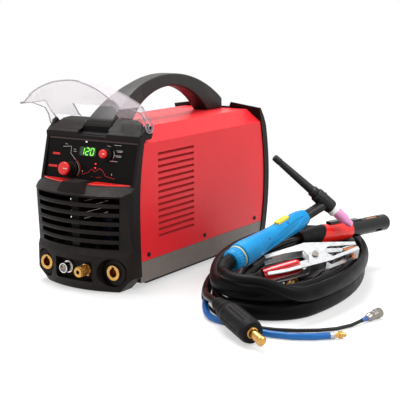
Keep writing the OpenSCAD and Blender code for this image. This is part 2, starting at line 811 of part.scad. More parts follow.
module gas_valve() {
    color("#B08A3E") translate([inlet_x, yr - 46, rail_z + tray_t]) {
        translate([-9, -15, 0]) cube([18, 30, 24]);
        translate([0, 0, 23.9]) cylinder(h = 22, r = 10);
        translate([0, 14, 14]) rotate([-90, 0, 0]) cylinder(h = 9, r = 4.5);
        translate([0, -14, 14]) rotate([90, 0, 0]) cylinder(h = 9, r = 4.5);
    }
}

// the pieces of the set lie on the floor beside the machine

// sweep of an oval ring along a list of points; ra across, rb upwards, n sides
function unit(v) = v / norm(v);
function tangent(p, i) = unit(p[min(i + 1, len(p) - 1)] - p[max(i - 1, 0)]);
function across_of(t) = unit(cross([0, 0, 1], t));
function ring(p, i, ra, rb, n) = let(t = tangent(p, i), a = across_of(t), b = cross(t, a))
    [for (k = [0 : n - 1]) p[i] + a * ra * cos(k * 360 / n) + b * rb * sin(k * 360 / n)];
function tube_points(p, ra, rb, n) = [for (i = [0 : len(p) - 1]) each ring(p, i, ra[i], rb[i], n)];
function tube_faces(m, n) = concat(
    [[for (k = [n - 1 : -1 : 0]) k]],
    [for (i = [0 : m - 2], k = [0 : n - 1]) [i * n + k, i * n + (k + 1) % n, (i + 1) * n + k]],
    [for (i = [0 : m - 2], k = [0 : n - 1]) [i * n + (k + 1) % n, (i + 1) * n + (k + 1) % n, (i + 1) * n + k]],
    [[for (k = [0 : n - 1]) (m - 1) * n + k]]);
module tube(p, ra, rb, n) {
    polyhedron(points = tube_points(p, ra, rb, n), faces = tube_faces(len(p), n), convexity = 12);
}
module round_tube(p, r, n) {
    tube(p, [for (q = p) r], [for (q = p) r], n);
}

// cubic curve from p to s with handles q and r, m steps
function curve(p, q, r, s, m) = [for (i = [0 : m]) let(t = i / m, u = 1 - t)
    u * u * u * p + 3 * u * u * t * q + 3 * u * t * t * r + t * t * t * s];
function smooth(t) = t <= 0 ? 0 : t >= 1 ? 1 : t * t * (3 - 2 * t);

// oval of four arcs, half width a, half length b, end radius r; u counts turns from +x
function side_r(a, b, r) = (a * a + (b - r) * (b - r) - r * r) / (2 * (a - r));
function side_a(a, b, r) = asin((b - r) / (side_r(a, b, r) - r));
function oval_angle(u, a, b, r) = let(R = side_r(a, b, r), th = side_a(a, b, r), ls = th * R,
    le = (90 - th) * r, w = (u - floor(u)) * 4, k = floor(w), d = (w - k) * (ls + le))
    90 * k + (k % 2 == 0
        ? (d < ls ? d / R : th + (d - ls) / r)
        : (d < le ? d / r : 90 - th + (d - le) / R));
function oval(u, s, a, b, r) = let(R = side_r(a, b, r), th = side_a(a, b, r),
    f = oval_angle(u, a, b, r), c = cos(f), n = sin(f))
    abs(c) > cos(th)
        ? [-sign(c) * (R - a) + (R - s) * c, (R - s) * n]
        : [(r - s) * c, sign(n) * (b - r) + (r - s) * n];

// where the hank of the torch hose lies
hank = [268, -31, 0];
hank_turn = 13.7;
function world(p) = [hank[0] + p[0] * cos(hank_turn) - p[1] * sin(hank_turn),
    hank[1] + p[0] * sin(hank_turn) + p[1] * cos(hank_turn), p[2]];

// torch placement: tail of the handle, its bearing and rise
torch_p = [258, -172, 74];
torch_az = 81.4;
torch_el = 11.8;
torch_d = [cos(torch_el) * cos(torch_az), cos(torch_el) * sin(torch_az), sin(torch_el)];
collar_l = 19;
boot_p = torch_p - torch_d * collar_l;
neck_az = 65;
neck_el = 22;
neck_d = [cos(neck_el) * cos(neck_az), cos(neck_el) * sin(neck_az), sin(neck_el)];
front_p = torch_p + torch_d * torch_l;
head_p = front_p + neck_d * 48;
head_az = 44.3;
head_el = -41.5;
head_d = [cos(head_el) * cos(head_az), cos(head_el) * sin(head_az), sin(head_el)];

module torch_frame() {
    translate(torch_p) rotate([0, 90 - torch_el, torch_az]) children();
}
module head_frame() {
    translate(head_p) rotate([0, 90 - head_el, head_az]) children();
}

module torch_body(e) {
    k = torch_l / 166;
    rotate_extrude() polygon([[0, e], [torch_r - e, e], [torch_r + 0.5 - e, 18 * k],
        [torch_r - 1 - e, 36 * k], [16 - e, 66 * k], [15.2 - e, 92 * k], [15.8 - e, 122 * k],
        [15.6 - e, 146 * k], [13.6 - e, 160 * k], [12 - e, torch_l - e], [0, torch_l - e]]);
}

trig_z = torch_l * 0.66;
module torch_half(s) {
    torch_frame() difference() {
        torch_body(0);
        torch_body(2.5);
        translate([-50, s > 0 ? -50 + 0.1 : -0.1, -1]) cube([100, 50, torch_l + 2]);
        translate([0, 0, -1]) cylinder(h = 9, r = 8.4);
        translate([0, 0, torch_l - 9]) cylinder(h = 20, r = 8.6 + 0.2);
        translate([-30, -5.2, trig_z - 15.2]) cube([26, 10.4, 30.4]);
    }
}

module torch_shell_left() {
    color("#1E7FC8") torch_half(1);
}
module torch_shell_right() {
    color("#1E7FC8") torch_half(-1);
}
module torch_trigger() {
    color("#E8D44A") torch_frame() {
        translate([-18.5, -4.8, trig_z - 14.8]) cube([7, 9.6, 29.6]);
        translate([-11.6, -4.2, trig_z - 20]) cube([1.8, 8.4, 40]);
    }
}
module torch_collar() {
    color("#1E7FC8") torch_frame() rotate_extrude() polygon([[8.3, -collar_l], [14, -collar_l],
        [16.5, -collar_l + 6], [16.5, -2 - gap], [14.5, -2 - gap], [14.5, -gap], [8.3, -gap]]);
}

// the hose leaves the torch in a bend, comes down on the hank and winds round it
hose_turns = 3.81;
hose_u0 = 0.64;
hose_a = 116;
hose_b = 216;
hose_end_r = 92;
hose_rr = 7;
hose_rz = 12.4;
hose_p = 15.6;
hose_z = [13.4, 40.6];
hose_n = 96;
hose_m = hose_turns / 2;
function hose_off(t) = hose_p * (hose_m - abs(t - hose_m));
function hose_h(t) = hose_z[0] + (hose_z[1] - hose_z[0]) * smooth((t - hose_m + 0.25) / 0.5);
function hose_q(t) = world(concat(oval(hose_u0 - t, hose_off(t), hose_a, hose_b, hose_end_r),
    [hose_h(t)]));
hose_coil = [for (i = [0 : hose_n]) hose_q(i * hose_turns / hose_n)];
hose_top = hose_coil[hose_n];
hose_dir = unit(hose_top - hose_coil[hose_n - 1]);
hose_mid = world([-2, -221, 64]);
hose_mid_d = unit(world([-3, -221, 64]) - world([-2, -221, 64]));
lead_a = curve(hose_top, hose_top + hose_dir * 38, hose_mid - hose_mid_d * 40, hose_mid, 6);
lead_b = curve(hose_mid, hose_mid + hose_mid_d * 34, boot_p - torch_d * 34, boot_p - torch_d * 3, 10);
boot_k = 6;
lead = concat([for (i = [1 : 6]) lead_a[i]], [for (i = [1 : boot_k]) lead_b[i]]);
hose_path = concat(hose_coil, lead);
// the sleeve narrows to the round end at the torch
hose_ra = [for (i = [0 : len(hose_path) - 1]) hose_rr + 0.4 * smooth((i - hose_n) / 6)];
hose_rb = [for (i = [0 : len(hose_path) - 1]) hose_rz - (hose_rz - hose_rr - 0.4)
    * smooth((i - hose_n + 2) / 7)];

module torch_hose() {
    color("#1D1C1B") tube(hose_path, hose_ra, hose_rb, 8);
}

boot_path = concat([lead_b[boot_k] + unit(lead_b[boot_k + 1] - lead_b[boot_k]) * gap],
    [for (i = [boot_k + 1 : 10]) lead_b[i]], [boot_p - torch_d * gap]);
boot_r = [8, 8.6, 9.6, 10.4, 10.6, 10.6];
module torch_boot() {
    color("#161616") tube(boot_path, boot_r, boot_r, 12);
}

module torch_head() {
    color("#1B1A19") {
        difference() {
            union() {
                rod(front_p - torch_d * 26, front_p + torch_d * 2, 8.5, 8.5);
                translate(front_p + torch_d * 2) sphere(r = 9);
                rod(front_p + torch_d * 2, head_p, 8.5, 8.5);
                head_frame() translate([0, 0, -24]) cylinder(h = 36, r = 11.5);
            }
            head_frame() translate([0, 0, -30]) cylinder(h = 50, r = 5.4);
        }
    }
}

module back_cap() {
    color("#1B1A19") head_frame() {
        translate([0, 0, -24 - gap - 8]) cylinder(h = 8, r = 9);
        translate([0, 0, -24 - gap - 8 - cap_l + 14]) cylinder(h = cap_l - 13.9, r1 = 5, r2 = 7);
        translate([0, 0, -24 - gap - 8 - cap_l]) cylinder(h = 14.1, r1 = 5.4, r2 = 5.6);
        translate([0, 0, -24 - gap - 0.01]) cylinder(h = 14, r = 5.4 - run);
    }
}

module nozzle_gasket() {
    color("#EFEDEA") head_frame() translate([0, 0, 12 + gap]) difference() {
        cylinder(h = 8, r1 = 10.5, r2 = 11);
        translate([0, 0, -1]) cylinder(h = 10, r = 5.8);
    }
}

module collet_body() {
    color("#B87040") head_frame() difference() {
        union() {
            translate([0, 0, 3]) cylinder(h = 20, r = 5.4 - run);
            translate([0, 0, 22]) cylinder(h = nozzle_l - 16, r = 3.4);
        }
        cylinder(h = nozzle_l + 20, r = 1.3);
    }
}

module gas_nozzle() {
    z1 = nozzle_l * 0.62;
    z2 = nozzle_l * 0.78;
    color("#E08FC0") head_frame() translate([0, 0, 20 + 2 * gap]) rotate_extrude() polygon([[6, 0],
        [8.6, 0], [8.2, z1], [5.6, z2], [5.6, nozzle_l], [4, nozzle_l], [4, z1], [6, z1]]);
}

// current lead from the sleeve to its plug
plug_p = [282, -268, 30];
plug_q = [371.4, -323.8, 17.6];
plug_d = unit(plug_q - plug_p);
hose_s = hose_coil[0];
hose_sd = unit(hose_coil[0] - hose_coil[1]);
lead_s = hose_s + hose_sd * 0.4 + [0, 0, 7.5];
power_path = curve(lead_s, lead_s + hose_sd * 34, plug_p - plug_d * 34, plug_p - plug_d * 0.4, 9);
module power_lead() {
    color("#1D1C1B") round_tube(power_path, 5.6, 8);
}

// three like plugs: on the torch, the earth lead and the electrode lead
plug_l = norm(plug_q - plug_p);
plug_set = [[plug_p, plug_d], [world([-18.5, -60, 17.6]), unit(world([0, 1, 0]) - world([0, 0, 0]))],
    [world([18.5, 60, 17.6]), unit(world([0, -1, 0]) - world([0, 0, 0]))]];
module plug_frame(i) {
    d = plug_set[i][1];
    translate(plug_set[i][0]) rotate([0, acos(d[2]), atan2(d[1], d[0])]) children();
}
module plug_sleeves() {
    color("#1E1D1C") for (i = [0 : 2]) plug_frame(i) difference() {
        union() {
            cylinder(h = 16, r1 = 9.5, r2 = 11.5);
            translate([0, 0, 15.99]) cylinder(h = 14, r1 = 12.5, r2 = 14);
            translate([0, 0, 29.98]) cylinder(h = 10, r1 = 14.2, r2 = 16.5);
            translate([0, 0, 39.97]) cylinder(h = plug_l - 46, r = 17);
            translate([0, 0, plug_l - 6.05]) cylinder(h = 6, r1 = 17, r2 = 15);
        }
        translate([0, 0, plug_l - 40]) cylinder(h = 60, r = 8 + run);
    }
}
module plug_pins() {
    color("#D8A050") for (i = [0 : 2]) plug_frame(i) {
        translate([0, 0, plug_l - 38]) cylinder(h = 38, r = 8);
        translate([0, 0, plug_l - 0.01]) cylinder(h = 26, r = plug_pin_d / 2);
        translate([0, 0, plug_l + 25.98]) cylinder(h = 2, r1 = plug_pin_d / 2, r2 = plug_pin_d / 2 - 2);
        translate([0, -2, plug_l + 14]) cube([plug_pin_d / 2 + 1.8, 4, 10]);
    }
}

// gas hose and control wire run out of the end of the sleeve over the floor
gas_s = hose_s + hose_sd * 0.4 + [0, 0, -3];
gas_path = concat(
    curve(gas_s, gas_s + hose_sd * 26, [252, -262, 5.4], [278, -267, 5.4], 7),
    [[298, -270, 5.2], [320, -276, 5.2], [346, -281, 5.2], [376, -281, 5.2], [404, -274, 5.2],
        [428, -260, 5.2], [444, -245, 5.4]]);
module gas_hose() {
    color("#2B6FB5") round_tube(gas_path, 4.8, 8);
}
gas_e = gas_path[len(gas_path) - 1];
gas_ed = unit(gas_e - gas_path[len(gas_path) - 2]);
module gas_fitting() {
    color("#CFA04C") {
        rod(gas_e + gas_ed * 0.3, gas_e + gas_ed * 7, 5.2, 5.2);
        rod(gas_e + gas_ed * 6.9, gas_e + gas_ed * 13, 3.6, 3.6);
        rod(gas_e + gas_ed * 12.9, gas_e + gas_ed * 18, 5.1, 5.1);
        rod(gas_e + gas_ed * 17.9, gas_e + gas_ed * 23, 3.4, 3.4);
    }
}
wire_path = concat(
    curve(hose_s + hose_sd * 0.4 + [0, 0, -10.4], hose_s + hose_sd * 26 + [3, 0, -10.4], [276, -250, 3],
        [300, -258, 3], 7),
    [[318, -260, 3], [342, -260, 3], [368, -255, 3], [394, -243, 3], [418, -226, 3],
        [436, -206, 3], [447, -182, 3.4], [452, -160, 5]]);
module control_wire() {
    color("#222224") round_tube(wire_path, 2.6, 8);
}
wire_e = wire_path[len(wire_path) - 1];
wire_ed = unit(wire_e - wire_path[len(wire_path) - 2]);
module control_plug() {
    color("#B4AFA6") {
        rod(wire_e + wire_ed * 0.3, wire_e + wire_ed * 12, 3, 3.6);
        rod(wire_e + wire_ed * 11.9, wire_e + wire_ed * 18, 4.2, 6.4);
        rod(wire_e + wire_ed * 17.9, wire_e + wire_ed * 32, 6.4, 6.6);
        rod(wire_e + wire_ed * 31.9, wire_e + wire_ed * 42, 7.4, 7.4);
    }
}

// earth and electrode leads lie coiled inside the hank, both ends inside
cab_r = 4.5;
cab_a = 71;
cab_b = 158;
cab_end = 62;
cab_p = 9.9;
function cab_q(t, n, u0, z) = world(concat(oval(u0 + t, cab_p * abs(t - n / 2), cab_a, cab_b, cab_end),
    [z + cab_p * smooth((t - n / 2 + 0.25) / 0.5)]));
earth_coil = [for (i = [0 : 90]) cab_q(i * 3.9 / 90, 3.9, 0.6, 4.8)];
hold_coil = [for (i = [0 : 80]) cab_q(i * 3.4 / 80, 3.4, 0.1, 24.6)];
function start_d(p) = unit(p[0] - p[1]);
function end_d(p) = unit(p[len(p) - 1] - p[len(p) - 2]);
// a curve that ends, or starts, with a short straight in the direction d
straight = 3;
function tail(p, q, d, a, b, m) = concat(
    curve(p[len(p) - 1], p[len(p) - 1] + end_d(p) * a, q - d * b, q - d * straight, m), [q]);
function front(p, q, d, a, b, m) = concat([q - d * gap],
    curve(q - d * straight, q - d * b, p[0] + start_d(p) * a, p[0], m));
function drop_last(p) = [for (i = [0 : len(p) - 2]) p[i]];
function drop_first(p) = [for (i = [1 : len(p) - 1]) p[i]];

// earth clamp
clamp_p = world([56, -68, 62.8]);
clamp_az = 33;
clamp_tilt = 40;
clamp_roll = 19;
module clamp_frame() {
    translate(clamp_p) rotate([0, 0, clamp_az]) rotate([clamp_tilt, 0, 0]) rotate([0, 0, clamp_roll])
        children();
}
function spin_z(p, a) = [p[0] * cos(a) - p[1] * sin(a), p[0] * sin(a) + p[1] * cos(a), p[2]];
function spin_x(p, a) = [p[0], p[1] * cos(a) - p[2] * sin(a), p[1] * sin(a) + p[2] * cos(a)];
function clamp_dir(p) = spin_z(spin_x(spin_z(p, clamp_roll), clamp_tilt), clamp_az);

grip_x = -84;
grip_y = -4;
earth_e = clamp_p + clamp_dir([grip_x - 0.4, grip_y, 0]);
earth_m = world([-42, -98.5, 33.5]);
earth_md = unit(world([0, -1, 0.2]) - world([0, 0, 0]));
earth_path = concat(
    drop_last(front(earth_coil, plug_set[1][0], plug_set[1][1], 14, 18, 5)),
    earth_coil,
    drop_first(tail(earth_coil, earth_m, earth_md, 33, 33, 6)),
    drop_first(tail([earth_m - earth_md, earth_m], earth_e, clamp_dir([1, 0, 0]), 17.6, 17.6, 7)));
module earth_cable() {
    color("#1D1C1B") round_tube(earth_path, cab_r, 6);
}

module clamp_plate(z, t, pts) {
    translate([0, 0, z]) linear_extrude(t) difference() {
        polygon(pts);
        circle(r = 3 + run);
    }
}
low_pts = [[-80, -12], [-50, -16], [-16, -17], [20, -18], [67, -13], [67, -7], [24, -12], [13, 4],
    [0, 9], [-9, 5], [-14, -11], [-48, -11], [-79, -7]];
up_pts = [[-72, 25], [-6, 27], [20, 19], [67, 4], [67, -2], [24, 9], [10, -5], [0, -9], [-9, -3],
    [-13, 14], [-40, 18], [-72, 19]];
module clamp_lower_arm() {
    color("#C9CBCE") clamp_frame() {
        for (z = [-11.6, 9.6]) clamp_plate(z, 2, low_pts);
        translate([-14, -17, -10]) cube([26, 2, 20]);
        translate([grip_x + 14, grip_y - 3, -5]) cube([60, 6, 10]);
        translate([-25.5, -16, -5]) cube([11.5, 13, 10]);
        translate([-20, -16, -10]) cube([6, 4, 20]);
        difference() {
            translate([46, -13, -10]) cube([21, 2, 20]);
            translate([56, -10, 0]) rotate([90, 0, 0]) cylinder(h = 9, r = 2.5 + gap);
        }
    }
}
module clamp_upper_arm() {
    color("#D2D4D7") clamp_frame() {
        for (z = [-9, 7]) clamp_plate(z, 2, up_pts);
        translate([-60, 21, -8]) cube([50, 2, 16]);
        difference() {
            translate([46, -1.5, -8]) cube([21, 2, 16]);
            translate([56, 9, 0]) rotate([90, 0, 0]) cylinder(h = 19, r = 2.5 + gap);
        }
    }
}
module clamp_grip() {
    color("#D81818") clamp_frame() difference() {
        union() {
            translate([grip_x, grip_y, 0]) rotate([0, 90, 0]) cylinder(h = 53, r = grip_r);
            translate([grip_x + 52.9, grip_y, 0]) rotate([0, 90, 0])
                cylinder(h = 5, r1 = grip_r, r2 = grip_r - 2);
        }
        translate([grip_x + 13, grip_y - 3.2, -5.2]) cube([90, 6.4, 10.4]);
        for (z = [9.2, -15.2]) translate([grip_x - 9, grip_y - 42, z]) cube([120, 40, 6]);
    }
}
module clamp_pivot() {
    color("#A8AAAD") clamp_frame() {
        translate([0, 0, -13.6]) cylinder(h = 27.2, r = 3);
        translate([0, 0, 11.9]) cylinder(h = 2.4, r = 5);
        translate([0, 0, -14.3]) cylinder(h = 2.4, r = 5);
    }
}
spring_r = 3 + gap + 0.9;
spring_path = [for (i = [0 : 54])
    clamp_p + clamp_dir([spring_r * cos(i * 20), spring_r * sin(i * 20), -5.6 + i * 11.2 / 54])];
module clamp_spring() {
    color("#8E9194") round_tube(spring_path, 0.9, 6);
}
module clamp_jaw_lower() {
    color("#C47B45") clamp_frame() {
        translate([46, -11, -8]) cube([21, 3, 16]);
        translate([56, -10, 0]) rotate([90, 0, 0]) cylinder(h = 7, r = 2.5);
        translate([56, -13, 0]) rotate([90, 0, 0]) cylinder(h = 4, r = 4.6, $fn = 6);
    }
}
module clamp_jaw_upper() {
    color("#C47B45") clamp_frame() {
        translate([46, -4.5, -6.6]) cube([21, 3, 13.2]);
        translate([56, -2, 0]) rotate([-90, 0, 0]) cylinder(h = 6.5, r = 2.5);
        translate([56, 0.5, 0]) rotate([-90, 0, 0]) cylinder(h = 4, r = 4.6, $fn = 6);
    }
}

// electrode holder
hold_p = world([11, 16, 71]);
hold_q = world([119, 188, 72]);
hold_d = unit(hold_q - hold_p);
hold_l = norm(hold_q - hold_p);
hold_az = atan2(hold_d[1], hold_d[0]);
hold_el = asin(hold_d[2]);
module hold_frame() {
    translate(hold_p) rotate([0, 90 - hold_el, hold_az]) children();
}
hold_path = concat(
    drop_last(front(hold_coil, plug_set[2][0], plug_set[2][1], 14, 18, 5)),
    hold_coil,
    drop_first(tail(hold_coil, hold_p - hold_d * 0.4, hold_d, 80, 76, 12)));
module holder_cable() {
    color("#1D1C1B") round_tube(hold_path, cab_r, 6);
}
lever_z = 128;
module holder_grip() {
    color("#E0221C") hold_frame() difference() {
        rotate_extrude() polygon([[4.8, 0], [12, 0], [13.5, 22], [holder_r - 1, 30], [holder_r, 60],
            [holder_r - 0.4, 100], [holder_r - 1.6, 112], [4.8, 112]]);
        translate([-40, -6.2, 62]) cube([38, 12.4, 80]);
        translate([0, 0, 96]) cylinder(h = 40, r = 9 + gap);
    }
}
module holder_head() {
    color("#1E1D1C") hold_frame() difference() {
        union() {
            translate([0, 0, 98]) cylinder(h = 16, r = 9);
            translate([0, 0, 112 + gap]) cylinder(h = hold_l - 116, r = 14);
            translate([0, 0, hold_l - 4]) cylinder(h = 4, r1 = 14, r2 = 12);
        }
        translate([-40, -6.2, 80]) cube([44, 12.4, lever_z - 68]);
        translate([-40, -5.2, lever_z + 24]) cube([48, 10.4, 30]);
        translate([6, -20, hold_l - 34]) cube([4, 40, 14]);
    }
    // pin of the lever
    color("#8E9194") hold_frame() translate([-6, 9, lever_z]) rotate([90, 0, 0])
        cylinder(h = 18, r = 2.5);
}
module holder_lever() {
    color("#232120") hold_frame() {
        difference() {
            union() {
                translate([-15.6, -5.6, 66]) cube([7, 11.2, lever_z - 60]);
                translate([-6, 5.6, lever_z]) rotate([90, 0, 0]) cylinder(h = 11.2, r = 5.4);
            }
            translate([-6, 20, lever_z]) rotate([90, 0, 0]) cylinder(h = 40, r = 2.5 + run);
        }
        translate([-19.6, -5.6, 66]) cube([4.1, 11.2, 30]);
    }
}

// least space between the turns of each tube, measured on points
function self_space(p, w, a, b) = min([for (i = [0 : 2 : len(p) - 1], j = [i + w : len(p) - 1])
    if (norm(p[i] - p[j]) < 60)
    let(d = p[j] - p[i], n = norm([d[0], d[1]]) / (2 * a), h = abs(d[2]) / (2 * b))
    (norm([n, h]) - 1) * 2 * a]);
echo(hose_self_gap = self_space(hose_coil, 12, hose_rr, hose_rz));
echo(earth_self_gap = self_space(earth_path, 12, cab_r, cab_r));
echo(holder_lead_self_gap = self_space(hold_path, 12, cab_r, cab_r));

foot_frame();
base_tray();
case_cover();
front_bezel();
rear_bezel();
carry_handle();
control_plate();
display_lens();
trim_strip();
panel_leds();
current_knob();
mode_knob();
encoder_bodies();
clear_cover();
socket_shells();
socket_contacts();
gas_outlet();
control_socket();
case_screws();
fan_frame();
fan_rotor();
heat_sinks();
power_board();
transformer();
capacitors();
control_board();
gas_valve();
rocker_switch();
cable_gland();
gas_inlet();
torch_shell_left();
torch_shell_right();
torch_trigger();
torch_collar();
torch_boot();
torch_head();
back_cap();
nozzle_gasket();
gas_nozzle();
collet_body();
torch_hose();
power_lead();
plug_sleeves();
plug_pins();
gas_hose();
gas_fitting();
control_wire();
control_plug();
clamp_lower_arm();
clamp_upper_arm();
clamp_grip();
clamp_pivot();
clamp_spring();
clamp_jaw_lower();
clamp_jaw_upper();
earth_cable();
holder_grip();
holder_head();
holder_lever();
holder_cable();
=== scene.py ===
"""Finished looks of a TIG welding machine with its torch set, earth clamp and electrode holder."""

import json
import math
from collections import namedtuple

import bmesh
import bpy
import numpy as np
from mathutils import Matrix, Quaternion, Vector
from mathutils.bvhtree import BVHTree

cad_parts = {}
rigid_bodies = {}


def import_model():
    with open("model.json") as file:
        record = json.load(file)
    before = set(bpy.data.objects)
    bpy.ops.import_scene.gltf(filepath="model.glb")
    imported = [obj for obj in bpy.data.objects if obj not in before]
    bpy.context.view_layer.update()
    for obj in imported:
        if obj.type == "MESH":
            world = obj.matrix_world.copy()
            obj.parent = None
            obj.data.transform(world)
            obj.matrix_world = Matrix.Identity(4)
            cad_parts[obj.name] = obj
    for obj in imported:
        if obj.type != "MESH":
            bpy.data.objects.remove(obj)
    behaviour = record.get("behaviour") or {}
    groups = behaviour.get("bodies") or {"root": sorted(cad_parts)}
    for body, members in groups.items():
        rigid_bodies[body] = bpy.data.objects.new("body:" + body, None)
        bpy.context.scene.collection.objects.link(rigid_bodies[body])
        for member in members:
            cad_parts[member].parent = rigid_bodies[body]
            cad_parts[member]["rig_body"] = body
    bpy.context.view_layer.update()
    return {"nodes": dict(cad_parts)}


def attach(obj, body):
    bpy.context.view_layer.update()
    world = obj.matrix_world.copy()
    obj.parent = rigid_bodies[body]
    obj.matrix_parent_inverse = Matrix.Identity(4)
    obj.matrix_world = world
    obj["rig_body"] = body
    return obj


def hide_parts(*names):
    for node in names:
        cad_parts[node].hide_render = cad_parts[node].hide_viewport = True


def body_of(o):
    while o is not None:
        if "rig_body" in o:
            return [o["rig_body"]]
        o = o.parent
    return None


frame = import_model()

bl_info = {
    "name": "TIG welding machine",
    "version": (1, 0, 0),
    "blender": (4, 5, 0),
    "location": "View3D > Sidebar > Welder",
    "description": "Finished surfaces for a packed welding machine and its set",
    "category": "Mesh",
}

MM = 0.001
TAU = 2 * math.pi
MACHINE = "machine"
# points closer than this are one (m); edges sharper than this are eased; CAD faces within this
# angle of one plane are one face
MERGE, EASED_FROM, FLAT = 1e-6, math.radians(30), math.radians(0.3)


# Colours and finishes


def linear(hex_text):
    """Linear red, green, blue and alpha of an sRGB hex colour."""
    c = np.array([int(hex_text[i:i + 2], 16) for i in (1, 3, 5)]) / 255
    c = np.where(c <= 0.04045, c / 12.92, ((c + 0.055) / 1.055) ** 2.4)
    return (*c.tolist(), 1.0)


def add_node(tree, kind, settings=None, inputs=None):
    """Adds one shader node with its settings; an input is a value or the socket that feeds it."""
    made = tree.nodes.new("ShaderNode" + kind)
    for key, value in (settings or {}).items():
        setattr(made, key, value)
    for key, value in (inputs or {}).items():
        if isinstance(value, bpy.types.NodeSocket):
            tree.links.new(value, made.inputs[key])
        else:
            made.inputs[key].default_value = value
    return made


# Each finish: the record's slot, the colour, how much darker its drift is and how wide (mm), the
# range of roughness and the width of its patches (mm), the width and height of the fine relief
# (mm), the constant values of its shader, and how far its noise is drawn out along a cord.
Finish = namedtuple("Finish", "slot tint deep drift rough patch grain relief fixed along", defaults=({}, 0))
METAL = {"Metallic": 1.0}


def plastic(level, ior=1.5):
    """Constant values of a plastic or a paint: how much its surface mirrors, and its index."""
    return {"IOR": ior, "Specular IOR Level": level}


